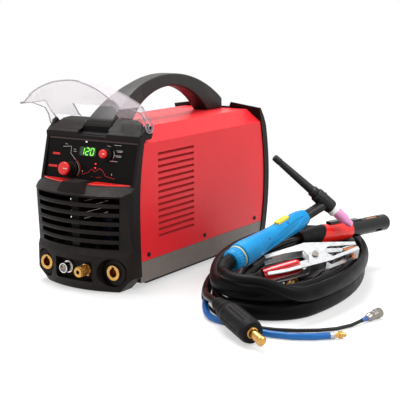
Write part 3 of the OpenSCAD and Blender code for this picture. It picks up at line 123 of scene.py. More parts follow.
FINISHES = {
    # polyester powder coat on sheet steel: even colour, orange peel under the gloss
    "powder_coat_red": Finish("red_paint", "paint", 0.96, 90, (0.34, 0.44), 14, 1.6, 0.02, plastic(0.28)),
    # the same coat on the louvres' flaps, darkened as painted shade of the hollows
    "powder_coat_thin": Finish("red_paint", "#920B10", 0.8, 9, (0.42, 0.55), 6, 1.4, 0.02, plastic(0.2)),
    # the same coat in dark grey on the base rail
    "powder_coat_grey": Finish("grey_rail", "rail", 0.82, 40, (0.42, 0.55), 10, 1.4, 0.02),
    # spark eroded ABS moulding: near black, a fine matt grain that greys where it faces the light
    "moulded_abs_black": Finish("black_plastic", "moulding", 0.7, 45, (0.4, 0.56), 7, 0.9, 0.03,
                                plastic(0.12, 1.52)),
    # glass filled nylon grip: a little greyer and smoother than the moulding
    "nylon_grip": Finish("black_plastic", "grip", 0.75, 60, (0.36, 0.5), 12, 1.1, 0.025, plastic(0.24, 1.53)),
    # phenolic torch head: dense dark moulding with a dull gloss
    "phenolic_black": Finish("phenolic", "#141312", 0.72, 12, (0.36, 0.52), 4, 0.7, 0.025, plastic(0.2, 1.6)),
    # the same on the electrode holder, polished in the mould
    "phenolic_polished": Finish("phenolic", "#141312", 0.8, 20, (0.18, 0.26), 9, 5, 0.005,
                                plastic(0.26, 1.6)),
    # natural rubber feet and plugs: soft matt black with a bloom
    "rubber_black": Finish("rubber", "#0C0B0B", 0.75, 16, (0.5, 0.68), 6, 0.8, 0.03, plastic(0.13, 1.52)),
    # extruded PVC jacket of the leads: smooth, with faint lines along its length
    "pvc_black": Finish("rubber", "#100F0E", 0.78, 18, (0.3, 0.42), 8, 2.2, 0.03, plastic(0.2, 1.53), 12),
    # coated fabric sheath over the torch leads: soft gloss, creases across its length
    "sheath_black": Finish("rubber", "#0A0909", 0.75, 26, (0.36, 0.5), 11, 7, 0.22, plastic(0.08, 1.5), 2.6),
    # near black on the inside of the cover sheet, painted shade of the closed case: dull
    "primer_grey": Finish("red_paint", "#161312", 0.8, 30, (0.6, 0.75), 9, 1.2, 0.02, plastic(0.2)),
    # printed polyester film of the control plate: near black, hardly a reflection
    "printed_film": Finish("panel_film", "#0E0A0A", 0.8, 30, (0.42, 0.52), 5, 0.8, 0.012, plastic(0.08)),
    # inks on the film: flat, dull colour
    # the maroon band is red darkened as painted shade under the brow
    "print_maroon": Finish("panel_film", "#2E0B0C", 0.85, 20, (0.4, 0.5), 4, 0.6, 0.005),
    "print_white": Finish("panel_film", "#D9D5D0", 0.9, 4, (0.45, 0.55), 2, 0.5, 0.005),
    "print_red": Finish("panel_film", "#D8201A", 0.9, 4, (0.42, 0.52), 2, 0.5, 0.005),
    # coloured ABS of knobs and trim: glossy, evenly dyed
    "abs_red": Finish("red_plastic", "accent", 0.95, 40, (0.2, 0.28), 12, 4, 0.004,
                      {"Coat Weight": 0.12, "Coat Roughness": 0.15}),
    # dipped PVC grip of the clamp: thick glossy skin
    "pvc_dip_red": Finish("red_plastic", "#C8101A", 0.8, 18, (0.14, 0.24), 9, 4, 0.05,
                          {"Coat Weight": 0.3, "Coat Roughness": 0.1}),
    # dark tinted acrylic window: smooth, almost black
    "acrylic_dark": Finish("display", "#060A06", 0.8, 20, (0.3, 0.4), 8, 3, 0.004, plastic(0.2, 1.49)),
    # turned free cutting brass, lacquered: warm yellow with fine turning marks
    "turned_brass": Finish("brass", "#CFA05A", 0.78, 5, (0.2, 0.34), 2.5, 0.6, 0.012, METAL),
    # nickel plate on turned brass: a warm grey gloss
    "nickel_plate": Finish("nickel", "#918C85", 0.8, 5, (0.26, 0.4), 2.5, 0.6, 0.01, METAL),
    # bright chrome plate on the control socket: pale, with sharp reflections
    "chrome_plate": Finish("nickel", "#D6D3CF", 0.85, 6, (0.14, 0.24), 3, 0.6, 0.006, METAL),
    # bright zinc on pressed steel: pale, faintly spangled
    "zinc_plate": Finish("steel", "#B0B1B2", 0.84, 7, (0.34, 0.5), 5, 1.4, 0.012, METAL),
    # blackened steel of screws: dark, with a dull sheen
    "black_oxide": Finish("dark_steel", "#2A2A2B", 0.7, 3, (0.35, 0.5), 1.5, 0.5, 0.01, {"Metallic": 0.9}),
    # extruded aluminium of the heat sinks, darkened near black as painted shade of the closed case: a soft
    # dark sheen
    "black_anodised_aluminium": Finish("aluminium", "#1D1D1F", 0.8, 9, (0.4, 0.55), 4, 0.7, 0.01,
                                       {"Metallic": 0.6}),
    # drawn copper: orange, softly streaked
    "drawn_copper": Finish("copper", "#D98A5C", 0.72, 5, (0.25, 0.4), 3, 0.7, 0.012, METAL),
    # enamelled copper winding in brown tape: uneven and dull
    "enamelled_copper": Finish("wound_copper", "#8A5A2C", 0.7, 8, (0.4, 0.55), 4, 1.2, 0.1),
    # solder resist on glass epoxy board: green, half gloss
    "solder_resist": Finish("circuit_board", "#1F5B3A", 0.75, 7, (0.3, 0.42), 3, 0.9, 0.015),
    # shrink film of the capacitors: dark blue, glossy
    "shrink_film": Finish("sleeve_film", "#2B3A55", 0.8, 12, (0.25, 0.35), 6, 1.5, 0.01),
    # dyed polyamide of the torch handle: silky, fine grain
    "polyamide_blue": Finish("blue_plastic", "handle_blue", 0.84, 26, (0.34, 0.46), 8, 0.8, 0.018,
                             plastic(0.2, 1.53)),
    # acetal of the trigger and of the collar's ring: even colour, soft gloss
    "acetal_yellow": Finish("yellow_plastic", "#E8CF3A", 0.88, 10, (0.3, 0.4), 5, 0.7, 0.012),
    "acetal_cream": Finish("yellow_plastic", "#DCD9A8", 0.9, 8, (0.35, 0.45), 4, 0.7, 0.012),
    # turned PTFE: waxy white
    "turned_ptfe": Finish("white_ptfe", "#EFEDEA", 0.93, 6, (0.3, 0.42), 3, 0.6, 0.01,
                          {"IOR": 1.38, "Subsurface Weight": 0.1}),
    # pressed alumina, fired pink: hard, slightly satin
    "fired_alumina": Finish("pink_ceramic", "nozzle", 0.9, 6, (0.28, 0.4), 3, 0.6, 0.015, {"IOR": 1.76}),
    # extruded blue PVC gas hose: smooth, with faint lines along its length
    "pvc_blue": Finish("blue_hose", "#125C9E", 0.84, 14, (0.24, 0.36), 7, 2, 0.02, plastic(0.25, 1.53), 12),
    # moulded blue boot on the control plug: a little paler than the hose
    "polyamide_boot": Finish("blue_hose", "#2A5494", 0.85, 6, (0.3, 0.42), 3, 0.6, 0.012),
}


def material(name, draw, *facts):
    """The material of a name, made once: draw(tree, ...) adds its nodes and gives the last shader."""
    if name not in bpy.data.materials:
        made = bpy.data.materials.new(name)
        made.use_nodes = True
        made.node_tree.nodes.clear()
        shader = draw(made.node_tree, *facts)
        add_node(made.node_tree, "OutputMaterial", {}, {"Surface": shader.outputs[0]})
    return bpy.data.materials[name]


def finished(tree, finish):
    """A finish. Colour drifts between its tint and a deeper one, roughness wanders over patches,
    and fine noise stands as relief, all in real millimetres of the piece or its UV map."""
    colours = bpy.context.scene.welder_colours
    tint = linear(finish.tint) if finish.tint[0] == "#" else (*getattr(colours, finish.tint), 1.0)
    deep = (*(finish.deep * c for c in tint[:3]), 1.0)
    place = add_node(tree, "TexCoord").outputs["UV" if finish.along else "Object"]
    stretch = (1 / (finish.along or 1), 1, 1)
    place = add_node(tree, "Mapping", {}, {"Vector": place, "Scale": stretch}).outputs["Vector"]
    drift, patch, grain = (
        add_node(tree, "TexNoise", {}, {
            "Vector": place, "Scale": 1 / (width * MM), "Detail": detail}).outputs["Fac"]
        for width, detail in ((finish.drift, 4), (finish.patch, 3), (finish.grain, 2)))
    # noise keeps near its middle, so that part is spread over the range
    drift = add_node(tree, "MapRange", {}, {"Value": drift, "From Min": 0.35, "From Max": 0.65})
    colour = add_node(tree, "Mix", {"data_type": "RGBA"}, {0: drift.outputs["Result"], 6: tint, 7: deep})
    rough = add_node(tree, "MapRange", {}, {
        "Value": patch, "From Min": 0.3, "From Max": 0.7,
        "To Min": finish.rough[0], "To Max": finish.rough[1]})
    relief = add_node(tree, "Bump", {}, {"Height": grain, "Distance": finish.relief * MM, "Strength": 1.0})
    return add_node(tree, "BsdfPrincipled", {}, {
        "Base Color": colour.outputs[2], "Roughness": rough.outputs["Result"],
        "Normal": relief.outputs["Normal"], **finish.fixed})


def surface(name):
    """The material of a finish."""
    return material(name, finished, FINISHES[name])


def clear_polycarbonate(tree, tint, haze):
    """Injection moulded polycarbonate: a faint warm haze and soft moulding waves in its gloss. Its denser,
    darker copy on the cover's edges is painted shade."""
    place = add_node(tree, "TexCoord").outputs["Object"]
    wave = add_node(tree, "TexNoise", {}, {"Vector": place, "Scale": 1 / (22 * MM), "Detail": 1})
    rough = add_node(tree, "MapRange", {}, {"Value": wave.outputs["Fac"], "To Min": 0.06, "To Max": 0.16})
    relief = add_node(tree, "Bump", {}, {"Height": wave.outputs["Fac"], "Distance": 0.05 * MM})
    return add_node(tree, "BsdfPrincipled", {}, {
        "Base Color": (*tint, 1.0), "Roughness": rough.outputs["Result"],
        "Normal": relief.outputs["Normal"], "IOR": 1.58, "Alpha": haze})


def lit_lens(tree, lit, strength):
    """Lit diode or display segment: its own light over a milky lens."""
    place = add_node(tree, "TexCoord").outputs["Object"]
    cloud = add_node(tree, "TexNoise", {}, {"Vector": place, "Scale": 1 / (1.5 * MM), "Detail": 2})
    rough = add_node(tree, "MapRange", {}, {"Value": cloud.outputs["Fac"], "To Min": 0.2, "To Max": 0.4})
    return add_node(tree, "BsdfPrincipled", {}, {
        "Base Color": linear(lit), "Roughness": rough.outputs["Result"],
        "Emission Color": linear(lit), "Emission Strength": strength})


# Shapes, as points in millimetres and faces


def unit(v):
    """Vectors scaled to length one."""
    v = np.asarray(v, float)
    return v / np.linalg.norm(v, axis=-1, keepdims=True)


def smooth(t):
    """Eases from 0 to 1 by 3t squared less 2t cubed."""
    t = np.clip(t, 0, 1)
    return t * t * (3 - 2 * t)


def around(steps):
    """Angles of even steps once round."""
    return np.arange(steps) * TAU / steps


def rings(r, a, z):
    """Points at radii, angles and heights."""
    return np.stack(np.broadcast_arrays(r * np.cos(a), r * np.sin(a), z), -1)


def sheet_of(grid, caps=False):
    """Quads over a grid of points: neighbours in rows and columns are joined, the columns close
    into a ring, and caps close the first and last row with one face each."""
    rows, cols = grid.shape[:2]
    i, j = np.meshgrid(np.arange(rows - 1), np.arange(cols), indexing="ij")
    a, b = i * cols + j, i * cols + (j + 1) % cols
    faces = np.stack([a, b, b + cols, a + cols], -1).reshape(-1, 4).tolist()
    if caps:
        faces += [list(range(cols))[::-1], list(range((rows - 1) * cols, rows * cols))]
    return grid.reshape(-1, 3), faces


def joined(*shapes):
    """Several shapes as one."""
    points, faces, count = [], [], 0
    for p, f in shapes:
        points.append(p)
        faces += [[count + k for k in face] for face in f]
        count += len(p)
    return np.concatenate(points), faces


def placed(shape, place):
    """A shape moved into a place: an origin and the three axes of its frame."""
    points, faces = shape
    return points @ place[1] + place[0], faces


def aimed(origin, az, lean):
    """A place whose third axis leans from upright towards a bearing; angles in degrees."""
    a, b = math.radians(az), math.radians(lean)
    ca, sa, cb, sb = math.cos(a), math.sin(a), math.cos(b), math.sin(b)
    return np.array(origin, float), np.array([[cb * ca, cb * sa, -sb], [-sa, ca, 0], [sb * ca, sb * sa, cb]])


def along(origin, direction):
    """A place whose third axis is a direction."""
    d = unit(direction)
    return aimed(origin, math.degrees(math.atan2(d[1], d[0])), math.degrees(math.acos(d[2])))


def rounded(points, radius, steps=4, closed=False):
    """A line with its corners eased: each is a quadratic curve that starts and ends the radius
    away along its two sides, or at 0.45 of a shorter side."""
    p = np.asarray(points, float)
    a, b = np.roll(p, 1, 0) - p, np.roll(p, -1, 0) - p
    la, lb = (np.maximum(np.linalg.norm(v, axis=1), 1e-9) for v in (a, b))
    r = np.minimum(radius, 0.45 * np.minimum(la, lb))
    if not closed:
        r[[0, -1]] = 0
    t = np.linspace(0, 1, steps + 1)[None, :, None]
    q0, q2 = p + a * (r / la)[:, None], p + b * (r / lb)[:, None]
    eased = (1 - t) ** 2 * q0[:, None] + 2 * t * (1 - t) * p[:, None] + t ** 2 * q2[:, None]
    line = eased.reshape(-1, p.shape[1])
    apart = np.linalg.norm(np.diff(line, axis=0), axis=1) > 1e-6
    return line[np.concatenate([[True], apart])]


def lathe(profile, steps=48, radius=0.0, wobble=None):
    """A profile of radius and height turned about the third axis, with its corners eased;
    wobble(angle, height) is added to the radius."""
    p = rounded(profile, radius) if radius else np.asarray(profile, float)
    a, r, z = around(steps), p[:, :1], p[:, 1:]
    if wobble is not None:
        r = np.maximum(r + wobble(a, z) * (r > 0), 0)
    return sheet_of(rings(r, a, z))


def sweep(path, section):
    """A section carried along a path: its first axis lies level across the path, or along the
    first axis where the path is upright, and its second stands square to both. The section may
    change from point to point."""
    t = unit(np.gradient(path, axis=0))
    a = np.cross([0, 0, 1], t)
    a[np.linalg.norm(a, axis=1) < 1e-6] = [1, 0, 0]
    a = unit(a)
    b = np.cross(t, a)
    s = np.broadcast_to(section, (len(path), *section.shape[-2:]))
    grid = path[:, None] + a[:, None] * s[..., :1] + b[:, None] * s[..., 1:]
    return sheet_of(grid, caps=True)


def slab(outline, low, high):
    """An outline in the first two axes made solid between two heights of the third."""
    o = np.asarray(outline, float)
    grid = np.stack([np.column_stack([o, np.full(len(o), z)]) for z in (low, high)])
    return sheet_of(grid, caps=True)


def rectangle(x0, y0, x1, y1, radius=0.0, steps=4):
    """Outline of a rectangle, its corners eased by a radius."""
    corners = [(x0, y0), (x1, y0), (x1, y1), (x0, y1)]
    return rounded(corners, radius, steps, True) if radius else corners


def flutes(count, depth, width, low, high, ease=2.0, off=0.0):
    """Wobble of a lathe: a number of flutes of one depth round it, broader for a greater width,
    between two heights where they ease out."""
    def wobble(a, z):
        ends = smooth((z - low) * ease) * smooth((high - z) * ease)
        return -depth * smooth(np.cos(count * a) * width - off) * ends
    return wobble


def stroke(line, width, low, high):
    """A drawn line of some width: its two edges lie half the width to each side, mitred."""
    p = np.asarray(line, float)
    t = unit(np.gradient(p, axis=0))
    n = np.column_stack([-t[:, 1], t[:, 0]]) * width / 2
    edge = np.stack([p + n, p - n], 1)
    grid = np.stack([np.concatenate([edge, np.full((len(p), 2, 1), z)], -1) for z in (low, high)], 1)
    ring = np.stack([grid[:, 0, 0], grid[:, 0, 1], grid[:, 1, 1], grid[:, 1, 0]], 1)
    return sheet_of(ring, caps=True)


def ring_section(across, up, sides):
    """An ellipse of a tube, across and up from its middle."""
    a = around(sides)
    return np.stack([np.multiply.outer(across, np.cos(a)), np.multiply.outer(up, np.sin(a))], -1)


def bezier(p, q, r, s, t):
    """Cubic curve from p to s with handles q and r, at parameters t."""
    t = np.asarray(t, float)[:, None]
    u = 1 - t
    return u ** 3 * p + 3 * u * u * t * q + 3 * u * t * t * r + t ** 3 * s


def node_shape(node):
    """The triangles of a CAD node."""
    mesh = frame["nodes"][node].data
    mesh.calc_loop_triangles()
    points = np.zeros(len(mesh.vertices) * 3, np.float32)
    faces = np.zeros(len(mesh.loop_triangles) * 3, np.int32)
    mesh.vertices.foreach_get("co", points)
    mesh.loop_triangles.foreach_get("vertices", faces)
    return points.reshape(-1, 3).astype(float) / MM, faces.reshape(-1, 3).tolist()


def add_piece(name, shape, finish, body=MACHINE, stands_for=(), bevel=0.0, segments=2, sharp=35.0,
              from_cad=False, uv=None):
    """Puts a shape into the scene as a piece: doubles merged, faces outwards, as those of a CAD node
    already are, and edges eased by a bevel in millimetres. It rides on a body in place of CAD nodes."""
    points, faces = shape
    mesh = bpy.data.meshes.new(name)
    mesh.from_pydata((points * MM).tolist(), [], faces)
    if uv is not None:
        layer = mesh.uv_layers.new(name="UVMap")
        layer.data.foreach_set("uv", (uv * MM).astype(np.float32).ravel())
    bm = bmesh.new()
    bm.from_mesh(mesh)
    bmesh.ops.remove_doubles(bm, verts=bm.verts, dist=MERGE)
    if from_cad:
        bmesh.ops.dissolve_limit(bm, angle_limit=FLAT, verts=bm.verts, edges=bm.edges)
    else:
        bmesh.ops.recalc_face_normals(bm, faces=bm.faces)
    bm.to_mesh(mesh)
    bm.free()
    mesh.polygons.foreach_set("use_smooth", np.ones(len(mesh.polygons), bool))
    mesh.materials.append(surface(finish) if isinstance(finish, str) else finish)
    piece = bpy.data.objects.new(name, mesh)
    bpy.context.scene.collection.objects.link(piece)
    if bevel:
        eased = piece.modifiers.new("eased edges", "BEVEL")
        eased.width = bevel * MM
        eased.segments = segments
        eased.limit_method = "ANGLE"
        eased.angle_limit = EASED_FROM
        eased.harden_normals = True
    else:
        mesh.set_sharp_from_angle(angle=math.radians(sharp))
    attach(piece, body)
    if stands_for:
        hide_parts(*stands_for)
    return piece


def add_turned(name, profile, place, finish, node=None, body=MACHINE, sharp=35.0, **turning):
    """A turned piece in its place, instead of a CAD node if one is named."""
    return add_piece(name, placed(lathe(profile, **turning), place), finish, body,
                     (node,) if node else (), sharp=sharp)


def dress(node, finish, bevel, segments=2):
    """A CAD node with its edges eased, in a finish."""
    body = body_of(frame["nodes"][node])[0]
    return add_piece(node + "_dressed", node_shape(node), finish, body, (node,), bevel, segments,
                     from_cad=True)


def dress_all(nodes):
    """CAD nodes with their edges eased: a finish, a bevel and its segments by node."""
    for node, facts in nodes.items():
        dress(node, *facts)


def paint(node, finish):
    """A CAD node as it is, in a finish."""
    for held in frame["nodes"][node].material_slots:
        held.material = surface(finish)


# Where things are, in millimetres, as in the CAD source

CASE_W, CASE_TOP = 182.0, 252.0
# the clear cover's wall, and how far a face of its cheeks faces sideways
HOOD_WALL, CHEEK = 2.4, 0.9
# bow of the front: its radius and middle; the grille's foot and head, and its slots
FRONT_R, FRONT_Y = 182.0, -67.0
GRILLE_Z, GRILLE_SLOTS = (68.0, 153.5), 6
# the cover's front edge: where it lies furthest forward, and its radius below and above that
SEAM_Y, SEAM_Z, SEAM_R = -192.0, 125.0, (1900.0, 430.0)
# the carry handle's ends and middle, and the heights and radii of the arcs under and over it
HANDLE_ENDS, HANDLE_Y = (-170.5, 168.9), 6.0
UNDER_Z, UNDER_R, OVER_Z, OVER_R = 148.0, 155.0, 49.0, 275.0
# the control plate: across, up and out
TILT = math.radians(12)
PLATE = (np.array([0, -202.0, 169.0]), np.array([
    [1, 0, 0], [0, math.sin(TILT), math.cos(TILT)], [0, -math.cos(TILT), math.sin(TILT)]]))
# the hank and the torch: handle, neck, head and the boot behind the collar
HANK = np.array([268.0, -31.0, 0.0])
HANK_TURN = math.radians(13.7)
TORCH_P = np.array([258.0, -172.0, 74.0])
TORCH = aimed(TORCH_P, 81.4, 90 - 11.8)
TORCH_D = TORCH[1][2]
TORCH_L = 166.0
TRIGGER_AT = TORCH_L * 0.66
FRONT_P = TORCH_P + TORCH_D * TORCH_L
NECK_D = aimed(FRONT_P, 65, 90 - 22)[1][2]
HEAD_P = FRONT_P + NECK_D * 48
HEAD = aimed(HEAD_P, 44.3, 90 + 41.5)
COLLAR_L = 19.0
BOOT_P = TORCH_P - TORCH_D * COLLAR_L
PLUG_P = np.array([282.0, -268.0, 30.0])
PLUG_Q = np.array([371.4, -323.8, 17.6])
PLUG_L = float(np.linalg.norm(PLUG_Q - PLUG_P))


def in_hank(p):
    """Points of the hank's own frame in the frame of the part."""
    p = np.asarray(p, float)
    c, s = math.cos(HANK_TURN), math.sin(HANK_TURN)
    return np.stack([HANK[0] + p[..., 0] * c - p[..., 1] * s, HANK[1] + p[..., 0] * s + p[..., 1] * c,
                     p[..., 2]], -1)


def spun(p, z1, x, z2):
    """Vectors turned about the third axis, then the first, then the third; degrees."""
    for axis, angle in ((2, z1), (0, x), (2, z2)):
        c, s = math.cos(math.radians(angle)), math.sin(math.radians(angle))
        i, j = (axis + 1) % 3, (axis + 2) % 3
        turn = np.eye(3)
        turn[i, i], turn[i, j], turn[j, i], turn[j, j] = c, s, -s, c
        p = np.asarray(p, float) @ turn
    return p


CLAMP = (in_hank([56, -68, 62.8]), spun(np.eye(3), 19, 40, 33))
HOLD_P, HOLD_Q = in_hank([11, 16, 71]), in_hank([119, 188, 72])
HOLD = along(HOLD_P, HOLD_Q - HOLD_P)
HOLD_D = HOLD[1][2]
UP_HANK = in_hank([0, 1, 0]) - in_hank([0, 0, 0])
PLUGS = {
    "torch": along(PLUG_P, PLUG_Q - PLUG_P),
    "earth": along(in_hank([-18.5, -60, 17.6]), UP_HANK),
    "holder": along(in_hank([18.5, 60, 17.6]), -UP_HANK),
}


# Cords


def oval(u, inset, a, b, r):
    """Oval of four arcs, half width a and half length b with ends of radius r, walked u turns
    from its first axis and pulled in by inset; each quarter is a side arc and half an end arc."""
    big = (a * a + (b - r) ** 2 - r * r) / (2 * (a - r))
    turn = np.arcsin((b - r) / (big - r))
    side, end = turn * big, (math.pi / 2 - turn) * r
    w = (u % 1) * 4
    k = np.floor(w)
    d = (w - k) * (side + end)
    odd = np.where(d < end, d / r, math.pi / 2 - turn + (d - end) / big)
    f = math.pi / 2 * k + np.where(k % 2 == 0, np.where(d < side, d / big, turn + (d - side) / r), odd)
    c, n = np.cos(f), np.sin(f)
    flat = np.abs(c) > np.cos(turn)
    return (np.where(flat, (big - inset) * c - np.sign(c) * (big - a), (r - inset) * c),
            np.where(flat, (big - inset) * n, np.sign(n) * (b - r) + (r - inset) * n))


# the sheath's winding: turns, steps, where it starts, its oval, and its pitch, height and layer
HOSE_TURNS, HOSE_STEPS, HOSE_START, HOSE_OVAL = 3.81, 96, 0.64, (116, 216, 92)
HOSE_PITCH, HOSE_Z, HOSE_LAYER = 15.6, 13.4, 27.2
# the leads' windings inside it, and the cords' radii
LEAD_OVAL, LEAD_PITCH = (71, 158, 62), 9.9
SHEATH_R, POWER_R, GAS_R, WIRE_R, LEAD_R = 12.4, 5.6, 4.8, 2.6, 4.5
# heights of the three leads in the sheath's mouth, over its middle
POWER_UP, GAS_UP, WIRE_UP = 7.5, -3, -10.4
# steps of the sheath's rise out of the winding, and the share of its last bend before the boot
RISE_STEPS, BOOT_AT = 6, 0.6
# a lead ends in a short straight, and its end keeps a seat's clearance
STRAIGHT, SEAT = 3.0, 0.4
BEND = np.linspace(0, 1, 25)


def hose_coil(t):
    """The sheath's winding at t turns: an oval that steps in by a pitch each turn, then out again
    one layer higher."""
    half = HOSE_TURNS / 2
    x, y = oval(HOSE_START - t, HOSE_PITCH * (half - np.abs(t - half)), *HOSE_OVAL)
    return in_hank(np.stack([x, y, HOSE_Z + HOSE_LAYER * smooth((t - half + 0.25) / 0.5)], -1))


def lead_coil(t, turns, start, height):
    """A lead's winding at t turns, inside the hank: in by a pitch each turn and out again above."""
    x, y = oval(start + t, LEAD_PITCH * np.abs(t - turns / 2), *LEAD_OVAL)
    return in_hank(np.stack([x, y, height + LEAD_PITCH * smooth((t - turns / 2 + 0.25) / 0.5)], -1))


def lead_start(key, turns, start, height, steps):
    """A lead from its plug to the end of its winding, with that end and the way on from it."""
    facts = turns, start, height
    step = turns / steps
    first, second, before, last = lead_coil(np.array([0, step, turns - step, turns]), *facts)
    at, d = PLUGS[key][0], PLUGS[key][1][2]
    into = bezier(at - d * STRAIGHT, at - d * 18, first + unit(first - second) * 14, first, BEND)
    coil = lead_coil(np.linspace(0, turns, steps * 4 + 1), *facts)
    return chained([at - d * SEAT], [at, *into], coil), last, unit(last - before)


def chained(*paths):
    """Paths joined end to end, without the doubled points."""
    return np.concatenate([np.asarray(paths[0])] + [np.asarray(p)[1:] for p in paths[1:]])


def run(path):
    """The length of a path up to each of its points."""
    return np.concatenate([[0], np.cumsum(np.linalg.norm(np.diff(path, axis=0), axis=1))])


def evened(path, step):
    """A path with its points about a step apart."""
    d = run(path)
    at = np.linspace(0, d[-1], int(d[-1] / step) + 1)
    return np.stack([np.interp(at, d, path[:, k]) for k in range(3)], -1)


def hose_routes():
    """The sheath's route and the boot's, with the sheath's place in the winding for its section."""
    step = HOSE_TURNS / HOSE_STEPS
    t = np.linspace(0, HOSE_TURNS, HOSE_STEPS * 4 + 1)
    coil = hose_coil(t)
    top, before = hose_coil(np.array([HOSE_TURNS, HOSE_TURNS - step]))
    out = unit(top - before)
    mid = in_hank([-2, -221, 64])
    level = unit(in_hank([-3, -221, 64]) - mid)
    rise = bezier(top, top + out * 38, mid - level * 40, mid, BEND)
    ends = (mid, mid + level * 34, BOOT_P - TORCH_D * 34, BOOT_P - TORCH_D * STRAIGHT)
    bend = bezier(*ends, np.linspace(0, BOOT_AT, 25))
    boot = np.concatenate([bezier(*ends, np.linspace(BOOT_AT, 1, 17)), [BOOT_P - TORCH_D * SEAT]])
    index = np.concatenate([t / step, HOSE_STEPS + BEND[1:] * RISE_STEPS,
                            HOSE_STEPS + RISE_STEPS + BEND[1:] * RISE_STEPS])
    return chained(coil, rise, bend), index, boot


def cord_uv(path, sides, girth):
    """A cord's map: along its length and round its girth, in millimetres."""
    d = run(path)
    i, j = np.meshgrid(np.arange(len(path) - 1), np.arange(sides), indexing="ij")
    v = np.arange(sides + 1) * girth / sides
    quads = np.stack([np.stack([d[i], v[j]], -1), np.stack([d[i], v[j + 1]], -1),
                      np.stack([d[i + 1], v[j + 1]], -1), np.stack([d[i + 1], v[j]], -1)], -2)
    caps = np.zeros((2 * sides, 2))
    return np.concatenate([quads.reshape(-1, 2), caps])


def add_cord(name, path, across, up, sides, finish, node):
    """A tube along a path with its own map."""
    section = ring_section(np.broadcast_to(across, len(path)), np.broadcast_to(up, len(path)), sides)
    girth = math.pi * (np.mean(across) + np.mean(up))
    return add_piece(name, sweep(path, section), finish, stands_for=(node,), uv=cord_uv(path, sides, girth),
                     sharp=60)


def plug_sleeve(key):
    """Rubber plug: a ringed tail that swells in steps to a fluted barrel, as radius over length
    with twelve shallow flutes round the barrel."""
    rows = np.arange(46, PLUG_L - 10, 2)
    profile = [(0, 0), (9.5, 0), (9.9, 6), (8.9, 6.6), (8.9, 8.4), (10.5, 9), (11.3, 15.6), (10.2, 16.2),
               (10.2, 18), (12.5, 18.6), (13.9, 29), (12.6, 29.8), (12.6, 31.4), (14.6, 32), (16.4, 39.6),
               (17, 41), (17, 44), *[(17, z) for z in rows], (17, PLUG_L - 7), (15, PLUG_L - 0.4),
               (8.3, PLUG_L - 0.4), (8.3, PLUG_L - 3), (0, PLUG_L - 3)]
    return add_turned("plug_sleeve_" + key, profile, PLUGS[key], "rubber_black", "plug_sleeves", sharp=50,
                      steps=96, radius=0.7, wobble=flutes(12, 0.9, 1.6, 44, PLUG_L - 12, 0.25))


def plug_pin(key):
    """Brass pin: a turned bush, a pin with a chamfered tip and the key that locks it by a twist."""
    turned = lathe([(0, PLUG_L - 30), (8, PLUG_L - 30), (8, PLUG_L), (6.5, PLUG_L), (6.5, PLUG_L + 25.8),
                    (4.5, PLUG_L + 28), (0, PLUG_L + 28)], 48, 0.5)
    lug = slab(rectangle(3, -2, 8.3, 2, 0.5), PLUG_L + 14, PLUG_L + 24)
    return add_piece("plug_pin_" + key, placed(joined(turned, lug), PLUGS[key]), "turned_brass",
                     stands_for=("plug_pins",))


